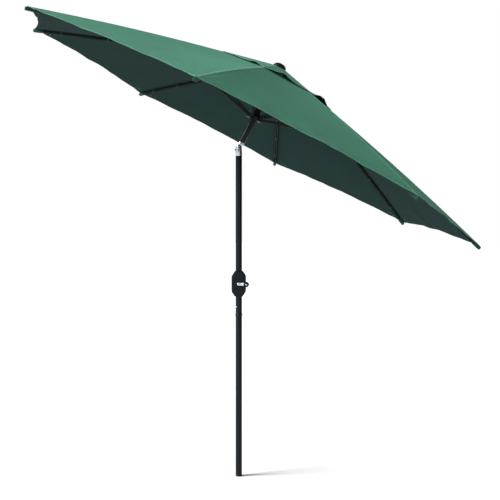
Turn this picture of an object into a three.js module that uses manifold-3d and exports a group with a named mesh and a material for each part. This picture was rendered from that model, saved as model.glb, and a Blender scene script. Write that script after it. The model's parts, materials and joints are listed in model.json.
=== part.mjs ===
// A crank-and-tilt market umbrella with eight ribs, open, with its head tilted to the last notch.
// Millimetres, +Z up. The origin is the centre of the pole's foot, and the head tilts towards +X.

import * as THREE from "three";
import { mergeVertices } from "three/addons/utils/BufferGeometryUtils.js";
import Module from "manifold-3d";

const wasm = await Module();
wasm.setup();

// ---------- driving dimensions ----------

// poles
const poleDiameter = 38;
const poleWall = 1.5;
const poleJointHeight = 944; // the lower pole's shoulder, where the main pole sits
const neckLength = 110; // the part of the lower pole that goes up inside the main pole
const collarWall = 1.5; // how far the main pole's end collar stands proud
const collarLength = 18;
const footThickness = 4;
const footPlugLength = 24;
const fitGap = 0.3; // between pieces that touch
const runningGap = 0.8; // round pieces that slide or turn

// snap button at the pole joint
const snapHeight = 1003;
const snapBearingDeg = 40; // from straight behind, round towards the crank
const snapRadius = 4;
const snapProud = 3.5;
const springLeafWidth = 8;
const springLeafThickness = 1;
const springLeafDrop = 34;

// tilt knuckle
const pivotHeight = 1942;
const forkLength = 45; // of the knuckle's fork, from the main pole's end up to the hinge
const tiltDeg = 26.8;
const tiltNotches = 4;
const tongueRadius = 10;
const tongueThickness = 13;
const tiltPinRadius = 3;
const forkBackWall = 4.5;
const buttonDrop = 9; // the tilt button's axis below the hinge
const buttonRadius = 4;
const buttonProud = 5;
const buttonStemRadius = 2;
const knuckleCollarLength = 16;
const plugLength = 34; // of the knuckle's plugs, inside the poles

// winch
const crankHeight = 1140;
const casingHalfWidth = 42.5;
const casingHalfHeight = 76;
const casingHalfDepth = 39;
const casingNeckWall = 3; // of the casing beside the pole, at its top and bottom
const casingShoulder = 31; // height of the slanting shoulders
const casingBevel = 8;
const casingWall = 2.8;
const casingScrewOffset = 11; // from the pole's surface
const casingScrewZ = 34;
const screwRadius = 1.8;
const screwHeadRadius = 3.8;
const screwHeadHeight = 3;
const axleRadius = 5;
const bushWall = 4;
const drumCoreRadius = 13;
const drumHalfWidth = 9;
const brakeWireRadius = 1.1;
const brakeTurns = 4;
const armReach = 46;
const armThickness = 6;
const armHubRadius = 8;
const armEndRadius = 8;
const armStandOff = 7; // from the casing's front to the arm
const knobLength = 37;
const knobRadius = 16;
const knobPinRadius = 3;

// head, in its own frame: heights are measured along the head pole from the tilt hinge
const ribCount = 8;
const firstRibDeg = -8.5; // the first rib's bearing from the direction of tilt
const canopyRadius = 1500;
const hubPivotHeight = 512;
const ribTipHeight = 94;
const ribTipInset = 6; // from the cloth's corner to the rib's end
const hubWall = 5;
const pivotRingOffset = 17; // from the pole's surface to the ring of hinge wire
const ringWireRadius = 1.6;
const wireHoleGap = 1.3; // round the curved wire, in the eyes of the ribs and struts
const crownRimOffset = 14; // from the hinge wire to the rim of the hub and runner
const ribWidth = 14;
const ribHeight = 16;
const ribBow = 18;
const channelWall = 1;
const armLength = 560; // hub hinge to strut hinge, and the strut's own length
const bracketDrop = 16; // strut hinge below the rib's centre line
const strutWidth = 8;
const strutHeight = 12;
const strutPinRadius = 2.5;
const strutHingeGap = 1.6; // round the pin that joins strut and rib
const clothThickness = 0.8;
const clothGap = 2.5; // above the ribs
const ventOpeningRadius = 280;
const ventRadius = 400;
const ventGap = 12;
const ventBillow = 16;
const scallop = 0.026; // how far the hem draws in between ribs, as a share of the rib
const panelSag = 12;
const finialRadius = 42;
const finialHeight = 32;
const finialStudRadius = 4;
const sheaveRadius = 10;
const sheaveHalfWidth = 2.5;
const sheaveAxleRadius = 2.5;
const crownBase = -10; // hub and runner rims, measured from their hinge wires
const hubTop = 12;
const runnerTop = 10;
const runnerLowCollar = 16; // below the runner's rim
const runnerHighCollar = 24; // above it
const hubSocketTop = -42; // where the head pole ends inside the hub
const hubSocketLength = 26;
const capThickness = 3.5;
const plateThickness = 2.7;
const domeFoot = 5; // the finial's straight rim
const studLength = 18; // of the finial's stud, below the hub's top
const wireGrooveGap = 0.4;

// ---------- sizes that follow ----------

const poleRadius = poleDiameter / 2;
const poleBore = poleRadius - poleWall;
const mainPoleTop = pivotHeight - forkLength;
const casingNeckHalfWidth = poleRadius + casingNeckWall;
const casingScrewX = poleRadius + casingScrewOffset;
const plugRadius = poleBore - fitGap;
const tilt = THREE.MathUtils.degToRad(tiltDeg);
const snapBearing = THREE.MathUtils.degToRad(snapBearingDeg);
const sector = (2 * Math.PI) / ribCount;
const pivotRing = poleRadius + pivotRingOffset;
const crownRim = pivotRing + crownRimOffset;
const crownSlotStart = pivotRing - ribHeight / 2 - 2;
const ribRun = canopyRadius - ribTipInset - pivotRing;
const ribDrop = hubPivotHeight - ribTipHeight;
const ribSlope = Math.atan2(ribDrop, ribRun);
const ribLength = Math.hypot(ribRun, ribDrop);
const bowAt = (x) => (4 * ribBow * x * (ribLength - x)) / ribLength ** 2;
const strutHingeZ = bowAt(armLength) - bracketDrop;
const armSlope = ribSlope - Math.asin(strutHingeZ / armLength);
const runnerPivotHeight = hubPivotHeight - 2 * armLength * Math.sin(armSlope);

// ---------- colours ----------

const finishes = {
  powderBlack: { color: 0x25292b, roughness: 0.42, metalness: 0.4 },
  blackPlastic: { color: 0x1e2224, roughness: 0.6, metalness: 0.0 },
  zinc: { color: 0xc9cfd2, roughness: 0.3, metalness: 0.9 },
  steel: { color: 0x9ea3a6, roughness: 0.35, metalness: 0.9 },
  ribSteel: { color: 0x2a2e2f, roughness: 0.5, metalness: 0.5 },
  greenCloth: { color: 0x4f8a6c, roughness: 0.85, metalness: 0.0 },
  nylon: { color: 0xd8d6cc, roughness: 0.5, metalness: 0.0 },
};

// ---------- making and cutting solids ----------

const up = new THREE.Vector3(0, 0, 1);

function signedVolume(position, index) {
  const [a, b, c] = [new THREE.Vector3(), new THREE.Vector3(), new THREE.Vector3()];
  let sum = 0;
  for (let i = 0; i < index.length; i += 3) {
    a.fromBufferAttribute(position, index[i]);
    b.fromBufferAttribute(position, index[i + 1]);
    c.fromBufferAttribute(position, index[i + 2]);
    sum += a.dot(b.cross(c));
  }
  return sum;
}

// a closed geometry as a solid: shared vertices merged, empty faces dropped, faces turned outwards
function solid(geometry) {
  const bare = geometry.clone();
  bare.deleteAttribute("normal");
  bare.deleteAttribute("uv");
  const merged = mergeVertices(bare, 1e-3);
  const faces = [];
  for (let i = 0; i < merged.index.count; i += 3) {
    const [a, b, c] = merged.index.array.slice(i, i + 3);
    if (a !== b && b !== c && c !== a) faces.push(a, b, c);
  }
  if (signedVolume(merged.attributes.position, faces) < 0) faces.reverse();
  return new wasm.Manifold(
    new wasm.Mesh({
      numProp: 3,
      vertProperties: new Float32Array(merged.attributes.position.array),
      triVerts: new Uint32Array(faces),
    })
  );
}

function geometryOf(body) {
  const mesh = body.getMesh();
  const geometry = new THREE.BufferGeometry();
  geometry.setAttribute("position", new THREE.BufferAttribute(mesh.vertProperties, 3));
  geometry.setIndex(new THREE.BufferAttribute(mesh.triVerts, 1));
  geometry.computeVertexNormals();
  return geometry;
}

// a solid turned about Z, from [radius, height] points that start and end on the axis or close up
function turned(profile, sides = 24) {
  const points = profile.map(([radius, height]) => new THREE.Vector2(radius, height));
  return solid(new THREE.LatheGeometry(points, sides).rotateX(Math.PI / 2));
}

const rod = (radius, low, high, sides = 20) =>
  turned([[0, low], [radius, low], [radius, high], [0, high]], sides);

const ring = (inner, outer, low, high, sides = 24) =>
  turned([[inner, low], [outer, low], [outer, high], [inner, high], [inner, low]], sides);

// a round bar along Y, centred on it
const crossRod = (radius, length, x, z, sides = 16) =>
  solid(
    new THREE.CylinderGeometry(radius, radius, length, sides).translate(x, 0, z)
  );

function block(low, high) {
  const size = low.map((value, axis) => high[axis] - value);
  const middle = low.map((value, axis) => (high[axis] + value) / 2);
  return solid(new THREE.BoxGeometry(...size).translate(...middle));
}

// an outline drawn in X and Z, as wide as `width` along Y and centred on it
function slab(shape, width, curveSegments = 3) {
  const options = { depth: width, bevelEnabled: false, curveSegments };
  const geometry = new THREE.ExtrudeGeometry(shape, options);
  return solid(geometry.translate(0, 0, -width / 2).rotateX(Math.PI / 2));
}

function outline(points) {
  return new THREE.Shape(points.map(([x, y]) => new THREE.Vector2(x, y)));
}

// a sheet of cloth as a thin closed solid; pointAt takes shares from 0 to 1 out and across
function clothSolid(rows, columns, pointAt, goesRound = false) {
  const perRow = goesRound ? columns : columns + 1;
  const positions = [];
  for (const lift of [0, clothThickness]) {
    for (let row = 0; row <= rows; row++) {
      for (let column = 0; column < perRow; column++) {
        const point = pointAt(row / rows, column / columns).addScaledVector(up, lift);
        positions.push(...point.toArray());
      }
    }
  }
  const at = (layer, row, column) => (layer * (rows + 1) + row) * perRow + (column % perRow);
  const faces = [];
  const quad = (a, b, c, d) => faces.push(a, b, c, a, c, d);
  for (let row = 0; row < rows; row++) {
    for (let column = 0; column < columns; column++) {
      const next = column + 1;
      quad(at(1, row, column), at(1, row + 1, column), at(1, row + 1, next), at(1, row, next));
      quad(at(0, row, column), at(0, row, next), at(0, row + 1, next), at(0, row + 1, column));
    }
  }
  for (let column = 0; column < columns; column++) {
    const next = column + 1;
    quad(at(0, 0, column), at(1, 0, column), at(1, 0, next), at(0, 0, next));
    quad(at(0, rows, column), at(0, rows, next), at(1, rows, next), at(1, rows, column));
  }
  if (!goesRound) {
    for (let row = 0; row < rows; row++) {
      quad(at(0, row, 0), at(0, row + 1, 0), at(1, row + 1, 0), at(1, row, 0));
      quad(at(0, row, columns), at(1, row, columns), at(1, row + 1, columns), at(0, row + 1, columns));
    }
  }
  const geometry = new THREE.BufferGeometry();
  geometry.setAttribute("position", new THREE.Float32BufferAttribute(positions, 3));
  geometry.setIndex(faces);
  return solid(geometry);
}

function add(group, name, body, finish) {
  const material = new THREE.MeshStandardMaterial({ ...finishes[finish], name: finish });
  const mesh = new THREE.Mesh(geometryOf(body), material);
  mesh.name = name;
  group.add(mesh);
  return mesh;
}

// ---------- poles ----------

const snapHole = () =>
  solid(
    new THREE.CylinderGeometry(snapRadius + fitGap, snapRadius + fitGap, poleRadius * 2, 20)
      .rotateZ(Math.PI / 2)
      .translate(-poleRadius, 0, snapHeight)
      .rotateZ(snapBearing)
  );

function addPoles(group) {
  const shoulder = footThickness + fitGap;
  const neckTop = poleJointHeight + neckLength;
  const neckBore = plugRadius - poleWall;
  const foot = turned([
    [0, 0],
    [poleRadius, 0],
    [poleRadius, footThickness],
    [plugRadius, footThickness],
    [plugRadius, footThickness + footPlugLength],
    [0, footThickness + footPlugLength],
  ]);
  add(group, "foot_cap", foot, "blackPlastic");

  const lower = turned([
    [poleBore, shoulder],
    [poleRadius, shoulder],
    [poleRadius, poleJointHeight],
    [plugRadius, poleJointHeight],
    [plugRadius, neckTop],
    [neckBore, neckTop],
    [neckBore, poleJointHeight - 2 * poleWall],
    [poleBore, poleJointHeight - 4 * poleWall],
    [poleBore, shoulder],
  ]);
  add(group, "lower_pole", lower.subtract(snapHole()), "powderBlack");

  const base = poleJointHeight + fitGap;
  const main = turned([
    [poleBore, base],
    [poleRadius + collarWall, base],
    [poleRadius + collarWall, base + collarLength],
    [poleRadius, base + collarLength + collarWall],
    [poleRadius, mainPoleTop],
    [poleBore, mainPoleTop],
    [poleBore, base],
  ]);
  const axleHoles = crossRod(axleRadius + runningGap, poleDiameter + 4, 0, crankHeight);
  add(group, "main_pole", main.subtract(snapHole()).subtract(axleHoles), "powderBlack");
}

function addSnapButton(group) {
  const leafX = plugRadius - poleWall - 2;
  const innerX = leafX - springLeafThickness;
  const top = snapRadius + 3;
  const floor = -springLeafDrop;
  const leaf = outline([
    [-leafX, top],
    [-leafX, floor + leafX / 2],
    [-leafX / 2, floor],
    [leafX / 2, floor],
    [leafX, floor + leafX / 2],
    [leafX, top],
    [innerX, top],
    [innerX, floor + leafX / 2],
    [innerX / 2, floor + springLeafThickness],
    [-innerX / 2, floor + springLeafThickness],
    [-innerX, floor + leafX / 2],
    [-innerX, top],
  ]);
  const mount = new THREE.Group();
  mount.rotation.z = snapBearing;
  mount.position.z = snapHeight;
  group.add(mount);
  add(mount, "snap_spring", slab(leaf, springLeafWidth), "steel");

  const reach = poleRadius + snapProud;
  const button = turned([
    [0, leafX + fitGap],
    [snapRadius, leafX + fitGap],
    [snapRadius, reach - 1.5],
    [snapRadius - 1.5, reach],
    [0, reach],
  ], 20);
  add(mount, "snap_button", button, "steel").rotation.y = -Math.PI / 2;
}

// ---------- tilt knuckle ----------

function addKnuckle(pole, head) {
  const slot = tongueThickness / 2 + 0.5;
  const slotFloor = pivotHeight - tongueRadius - 4;
  const base = mainPoleTop + fitGap;
  const stock = rod(poleRadius, base, pivotHeight + poleRadius, 24);
  const cheeks = crossRod(poleRadius, poleDiameter, 0, pivotHeight, 24).add(
    block([-poleRadius, -poleRadius, base], [poleRadius, poleRadius, pivotHeight])
  );
  const buttonHole = solid(
    new THREE.CylinderGeometry(buttonRadius + fitGap, buttonRadius + fitGap, poleRadius, 20)
      .rotateZ(Math.PI / 2)
      .translate(-poleRadius, 0, pivotHeight - buttonDrop)
  );
  const fork = stock
    .intersect(cheeks)
    .add(rod(plugRadius, base - plugLength, base + 1, 24))
    .subtract(block(
      [-poleRadius + forkBackWall, -slot, slotFloor],
      [poleDiameter, slot, pivotHeight + poleDiameter]
    ))
    .subtract(block(
      [-poleDiameter, -slot, pivotHeight],
      [0, slot, pivotHeight + poleDiameter]
    ))
    .subtract(buttonHole)
    .subtract(crossRod(tiltPinRadius + fitGap, poleDiameter + 4, 0, pivotHeight));
  add(pole, "tilt_fork", fork, "zinc");

  const headGap = poleRadius + fitGap;
  const pinHead = tiltPinRadius + 2.5;
  const pin = turned([
    [0, -headGap - 2],
    [pinHead - 1, -headGap - 2],
    [pinHead, -headGap],
    [tiltPinRadius, -headGap],
    [tiltPinRadius, headGap],
    [pinHead, headGap],
    [pinHead - 1, headGap + 2],
    [0, headGap + 2],
  ], 20);
  const pinMesh = add(pole, "tilt_pin", pin, "steel");
  pinMesh.rotation.x = Math.PI / 2;
  pinMesh.position.z = pivotHeight;

  // a cap that stands out behind the knuckle and a stem whose tip faces the notches
  const stemTip = tongueRadius + 3;
  const button = turned([
    [0, stemTip],
    [buttonStemRadius, stemTip],
    [buttonStemRadius, stemTip + 2],
    [buttonRadius, stemTip + 2],
    [buttonRadius, poleRadius + buttonProud - 1],
    [buttonRadius - 1, poleRadius + buttonProud],
    [0, poleRadius + buttonProud],
  ], 20);
  const buttonMesh = add(pole, "tilt_button", button, "blackPlastic");
  buttonMesh.rotation.y = -Math.PI / 2;
  buttonMesh.position.z = pivotHeight - buttonDrop;

  const collarBase = poleRadius + 3;
  const collarTop = collarBase + knuckleCollarLength;
  let tongue = crossRod(tongueRadius, tongueThickness, 0, 0, 24)
    .add(block(
      [-tongueRadius, -tongueThickness / 2, 0],
      [tongueRadius, tongueThickness / 2, collarBase + 2]
    ))
    .add(rod(poleRadius, collarBase, collarTop, 24))
    .add(rod(plugRadius, collarTop - 1, collarTop + plugLength, 24))
    .subtract(crossRod(tiltPinRadius + fitGap, poleDiameter, 0, 0));
  for (let notch = 0; notch < tiltNotches; notch++) {
    const turn = (tilt * notch) / (tiltNotches - 1);
    const bearing = Math.atan2(-buttonDrop, -stemTip) + turn;
    const [x, z] = [tongueRadius * Math.cos(bearing), tongueRadius * Math.sin(bearing)];
    tongue = tongue.subtract(crossRod(1.2, tongueThickness + 2, x, z, 8));
  }
  add(head, "tilt_tongue", tongue, "zinc");
  return collarTop;
}

// ---------- winch: in a frame whose +Z comes out of the casing's front and whose +Y is up ----------

function casingOutline(inset) {
  const [wide, high] = [casingHalfWidth - inset, casingHalfHeight - inset];
  const [neck, shoulder] = [casingNeckHalfWidth - inset / 2, casingHalfHeight - casingShoulder];
  const soft = 10; // how far from each corner the rounding starts
  const shape = new THREE.Shape();
  const slant = Math.hypot(wide - neck, high - shoulder);
  const [dx, dy] = [(wide - neck) / slant, (high - shoulder) / slant];
  shape.moveTo(wide, -shoulder + soft);
  shape.lineTo(wide, shoulder - soft);
  shape.quadraticCurveTo(wide, shoulder, wide - dx * soft, shoulder + dy * soft);
  shape.lineTo(neck + (dx * soft) / 2, high - (dy * soft) / 2);
  shape.quadraticCurveTo(neck, high, neck - soft / 2, high);
  shape.lineTo(-neck + soft / 2, high);
  shape.quadraticCurveTo(-neck, high, -neck - (dx * soft) / 2, high - (dy * soft) / 2);
  shape.lineTo(-wide + dx * soft, shoulder + dy * soft);
  shape.quadraticCurveTo(-wide, shoulder, -wide, shoulder - soft);
  shape.lineTo(-wide, -shoulder + soft);
  shape.quadraticCurveTo(-wide, -shoulder, -wide + dx * soft, -shoulder - dy * soft);
  shape.lineTo(-neck - (dx * soft) / 2, -high + (dy * soft) / 2);
  shape.quadraticCurveTo(-neck, -high, -neck + soft / 2, -high);
  shape.lineTo(neck - soft / 2, -high);
  shape.quadraticCurveTo(neck, -high, neck + (dx * soft) / 2, -high + (dy * soft) / 2);
  shape.lineTo(wide - dx * soft, -shoulder - dy * soft);
  shape.quadraticCurveTo(wide, -shoulder, wide, -shoulder + soft);
  return shape;
}

function casingBlock(inset) {
  const halfDepth = casingHalfDepth - inset;
  const geometry = new THREE.ExtrudeGeometry(casingOutline(inset), {
    depth: 2 * (halfDepth - casingBevel),
    bevelThickness: casingBevel,
    bevelSize: casingBevel,
    bevelOffset: -casingBevel,
    bevelSegments: 1,
    curveSegments: 2,
  });
  return solid(geometry.translate(0, 0, -(halfDepth - casingBevel)));
}

function addWinchCasing(group) {
  const bushRadius = axleRadius + fitGap + bushWall;
  let casing = casingBlock(0).subtract(casingBlock(casingWall));
  const bossHalf = casingHalfDepth - casingBevel / 2;
  const headSeat = -(casingHalfDepth - 8);
  const shankTip = casingHalfDepth / 2;
  const corners = [[1, 1], [-1, 1], [-1, -1], [1, -1]];
  const atCorner = (body, [sideX, sideY]) =>
    solid(geometryOf(body).translate(sideX * casingScrewX, sideY * casingScrewZ, 0));
  for (const corner of corners) {
    casing = casing.add(atCorner(rod(screwRadius + 3.2, -bossHalf, bossHalf, 10), corner));
  }
  for (const corner of corners) {
    const hole = rod(screwRadius + fitGap, headSeat - 1, shankTip + 1, 8);
    const recess = rod(screwHeadRadius + fitGap, -casingHalfDepth - 1, headSeat, 12);
    casing = casing.subtract(atCorner(hole.add(recess), corner));
  }
  const poleHole = crossRod(poleRadius + fitGap, casingHalfHeight * 2 + 4, 0, 0, 24);
  casing = casing
    .subtract(poleHole)
    .subtract(rod(bushRadius + fitGap, -casingHalfDepth - 1, casingHalfDepth + 1));
  const reach = casingHalfHeight + 2;
  const frontHalf = block([-reach, -reach, fitGap / 2], [reach, reach, reach]);
  const backHalf = block([-reach, -reach, -reach], [reach, reach, -fitGap / 2]);
  add(group, "crank_casing_front", casing.intersect(frontHalf), "blackPlastic");
  add(group, "crank_casing_back", casing.intersect(backHalf), "blackPlastic");

  corners.forEach(([sideX, sideY], number) => {
    const screw = turned([
      [0, headSeat - fitGap - screwHeadHeight],
      [screwHeadRadius, headSeat - fitGap - screwHeadHeight],
      [screwHeadRadius, headSeat - fitGap],
      [screwRadius, headSeat - fitGap],
      [screwRadius, shankTip],
      [0, shankTip + 1],
    ], 12);
    const mesh = add(group, `casing_screw_${number + 1}`, screw, "steel");
    mesh.position.set(sideX * casingScrewX, sideY * casingScrewZ, 0);
  });

  const bush = (low, high) => ring(axleRadius + fitGap, bushRadius, low, high, 24);
  add(group, "axle_bush_front", bush(casingHalfDepth - 7, casingHalfDepth + 1), "nylon");
  add(group, "axle_bush_back", bush(-casingHalfDepth, -casingHalfDepth + 7), "nylon");
}

class Coil extends THREE.Curve {
  constructor(radius, length, turns) {
    super();
    Object.assign(this, { radius, length, turns });
  }

  getPoint(share, target = new THREE.Vector3()) {
    const angle = share * this.turns * 2 * Math.PI;
    const [x, y] = [this.radius * Math.cos(angle), this.radius * Math.sin(angle)];
    return target.set(x, y, share * this.length);
  }
}

function addWinch(group) {
  const armBack = casingHalfDepth + armStandOff;
  const armFront = armBack + armThickness;
  const flange = Math.sqrt(poleBore ** 2 - drumHalfWidth ** 2) - 1; // inside the pole
  const screwDepth = 12;
  const axle = rod(axleRadius, -casingHalfDepth + 2, armFront, 24).subtract(
    rod(screwRadius + fitGap, armFront - screwDepth, armFront + 1, 12)
  );
  add(group, "winch_axle", axle, "steel");

  const drum = turned([
    [axleRadius + fitGap, -drumHalfWidth],
    [flange, -drumHalfWidth],
    [flange, -drumHalfWidth + 2],
    [drumCoreRadius - 2, -drumHalfWidth + 2.5],
    [drumCoreRadius - 2, drumHalfWidth - 2.5],
    [flange, drumHalfWidth - 2],
    [flange, drumHalfWidth],
    [axleRadius + fitGap, drumHalfWidth],
    [axleRadius + fitGap, -drumHalfWidth],
  ], 20);
  add(group, "winch_drum", drum, "nylon");

  const coilRadius = axleRadius + fitGap + brakeWireRadius + 1;
  const coilStart = poleRadius + brakeWireRadius + 1.5;
  const coilLength = casingHalfDepth - 7 - brakeWireRadius - 1.5 - coilStart;
  const section = new THREE.Shape().absarc(0, 0, brakeWireRadius, 0, 2 * Math.PI);
  const coil = new THREE.ExtrudeGeometry(section, {
    steps: brakeTurns * 10,
    curveSegments: 3,
    bevelEnabled: false,
    extrudePath: new Coil(coilRadius, coilLength, brakeTurns),
  });
  add(group, "brake_spring", solid(coil), "steel").position.z = coilStart;

  const shape = new THREE.Shape();
  const lean = Math.asin((armHubRadius - armEndRadius) / armReach);
  shape.absarc(0, 0, armHubRadius, Math.PI / 2 - lean, -Math.PI / 2 + lean, false);
  shape.absarc(armReach, 0, armEndRadius, -Math.PI / 2 + lean, Math.PI / 2 - lean, false);
  for (const [x, radius] of [[0, axleRadius], [armReach, knobPinRadius]]) {
    shape.holes.push(new THREE.Path().absarc(x, 0, radius + fitGap, 0, 2 * Math.PI, true));
  }
  const options = { depth: armThickness, bevelEnabled: false, curveSegments: 6 };
  const arm = new THREE.ExtrudeGeometry(shape, options);
  add(group, "crank_arm", solid(arm), "zinc").position.z = armBack;

  const screw = turned([
    [0, armFront - screwDepth + 1],
    [screwRadius, armFront - screwDepth + 1],
    [screwRadius, armFront + fitGap],
    [axleRadius + 2, armFront + fitGap],
    [axleRadius + 1, armFront + 3],
    [0, armFront + 3.5],
  ], 16);
  add(group, "crank_screw", screw, "steel");

  const knobStart = armFront + runningGap;
  const knobEnd = knobStart + knobLength;
  const pin = turned([
    [0, armBack - 2.5],
    [knobPinRadius + 2, armBack - 2.5],
    [knobPinRadius + 2, armBack - fitGap],
    [knobPinRadius, armBack - fitGap],
    [knobPinRadius, knobEnd + runningGap],
    [knobPinRadius + 2, knobEnd + runningGap],
    [knobPinRadius + 2, knobEnd + 2.5],
    [0, knobEnd + 3],
  ], 16);
  add(group, "knob_pin", pin, "steel").position.x = armReach;

  const bore = knobPinRadius + 0.4;
  const knob = turned([
    [bore, knobStart],
    [knobRadius - 4, knobStart],
    [knobRadius - 1.5, knobStart + 5],
    [knobRadius, knobStart + knobLength / 2],
    [knobRadius - 1, knobEnd - 5],
    [knobRadius - 4, knobEnd],
    [bore, knobEnd],
    [bore, knobStart],
  ], 24);
  add(group, "crank_knob", knob, "blackPlastic").position.x = armReach;
}

// ---------- hub and runner ----------

// cuts one slot for each rib or strut through the crown's rim
function cutSlots(body, width, low, high) {
  let cut = body;
  for (let rib = 0; rib < ribCount; rib++) {
    const slot = new THREE.BoxGeometry(crownRim, width, high - low)
      .translate(crownSlotStart + crownRim / 2, 0, (high + low) / 2)
      .rotateZ(rib * sector);
    cut = cut.subtract(solid(slot));
  }
  return cut;
}

const hingeWire = () =>
  solid(new THREE.TorusGeometry(pivotRing, ringWireRadius, 5, 32));

function addCrown(group, collarTop) {
  const collar = poleRadius + hubWall;
  const groove = ringWireRadius + wireGrooveGap;
  const socketFloor = hubSocketTop - hubSocketLength;
  const sheaveX = sheaveRadius + 2;
  const sheaveZ = hubSocketTop + sheaveRadius + 4;
  let hub = turned([
    [poleRadius + fitGap, socketFloor],
    [collar, socketFloor],
    [collar, crownBase],
    [crownRim, crownBase],
    [crownRim, hubTop],
    [0, hubTop],
    [0, hubSocketTop],
    [poleRadius + fitGap, hubSocketTop],
    [poleRadius + fitGap, socketFloor],
  ]);
  hub = cutSlots(hub, ribWidth + 2 * runningGap, crownBase - 1, hubTop + 1)
    .subtract(ring(pivotRing - groove, pivotRing + groove, -groove, hubTop + 1, 24))
    .subtract(rod(finialStudRadius + fitGap, hubTop - studLength - 2, hubTop + 1, 20));
  const pulleyWell = new THREE.BoxGeometry(collar + 4, 2 * sheaveHalfWidth + 1, 2 * sheaveRadius + 6)
    .translate(collar / 2, 0, sheaveZ)
    .rotateZ(sector / 2);
  const pulleyBore = new THREE.CylinderGeometry(
    sheaveAxleRadius + fitGap, sheaveAxleRadius + fitGap, 3 * collar, 16
  )
    .translate(sheaveX, 0, sheaveZ)
    .rotateZ(sector / 2);
  hub = hub.subtract(solid(pulleyWell)).subtract(solid(pulleyBore));
  add(group, "hub", hub, "blackPlastic").position.z = hubPivotHeight;
  add(group, "hub_hinge_wire", hingeWire(), "steel").position.z = hubPivotHeight;

  const axleHalf = collar * 0.7;
  const sheave = turned([
    [0, -axleHalf],
    [sheaveAxleRadius, -axleHalf],
    [sheaveAxleRadius, -sheaveHalfWidth],
    [sheaveRadius, -sheaveHalfWidth],
    [sheaveRadius - 3, 0],
    [sheaveRadius, sheaveHalfWidth],
    [sheaveAxleRadius, sheaveHalfWidth],
    [sheaveAxleRadius, axleHalf],
    [0, axleHalf],
  ], 20);
  const sheaveMount = new THREE.Group();
  sheaveMount.rotation.z = sector / 2;
  sheaveMount.position.z = hubPivotHeight + sheaveZ;
  group.add(sheaveMount);
  const sheaveMesh = add(sheaveMount, "top_sheave", sheave, "nylon");
  sheaveMesh.rotation.x = Math.PI / 2;
  sheaveMesh.position.x = sheaveX;

  const capTop = hubTop + fitGap + capThickness;
  const cap = ring(finialStudRadius + fitGap, crownRim, hubTop + fitGap, capTop);
  add(group, "hub_cap", cap, "blackPlastic").position.z = hubPivotHeight;

  const clothTop = capTop + fitGap + clothThickness + fitGap;
  const dome = [];
  const domeSteps = 5;
  for (let step = 0; step <= domeSteps; step++) {
    const angle = (step / domeSteps) * (Math.PI / 2);
    const rise = (finialHeight - domeFoot) * Math.sin(angle);
    dome.push([finialRadius * Math.cos(angle), clothTop + domeFoot + rise]);
  }
  dome[dome.length - 1][0] = 0;
  const finial = turned([
    [0, hubTop - studLength],
    [finialStudRadius, hubTop - studLength],
    [finialStudRadius, clothTop],
    [finialRadius - 2, clothTop],
    ...dome,
  ]);
  add(group, "finial", finial, "blackPlastic").position.z = hubPivotHeight;

  const low = collarTop + fitGap;
  const high = hubPivotHeight + hubSocketTop - fitGap;
  add(group, "head_pole", ring(poleBore, poleRadius, low, high), "powderBlack");
  return hubPivotHeight + capTop + fitGap;
}

function addRunner(group) {
  const groove = ringWireRadius + wireGrooveGap;
  const bore = poleRadius + runningGap;
  const collar = bore + hubWall;
  const foot = crownBase - runnerLowCollar;
  const top = runnerTop + runnerHighCollar;
  let runner = turned([
    [bore, foot],
    [collar, foot],
    [collar, crownBase],
    [crownRim, crownBase],
    [crownRim, runnerTop],
    [collar + 1, runnerTop + 2],
    [collar, top],
    [bore, top],
    [bore, foot],
  ]);
  runner = cutSlots(runner, strutWidth + 2 * runningGap, crownBase - 1, runnerTop + 6)
    .subtract(ring(pivotRing - groove, pivotRing + groove, crownBase - 1, groove, 24));
  add(group, "runner", runner, "blackPlastic").position.z = runnerPivotHeight;
  add(group, "runner_hinge_wire", hingeWire(), "steel").position.z = runnerPivotHeight;
  const plateTop = crownBase - fitGap;
  const plate = ring(collar + fitGap, crownRim, plateTop - plateThickness, plateTop);
  add(group, "runner_plate", plate, "blackPlastic").position.z = runnerPivotHeight;
}

// ---------- ribs and struts: X runs out along each from its hinge ----------

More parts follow.
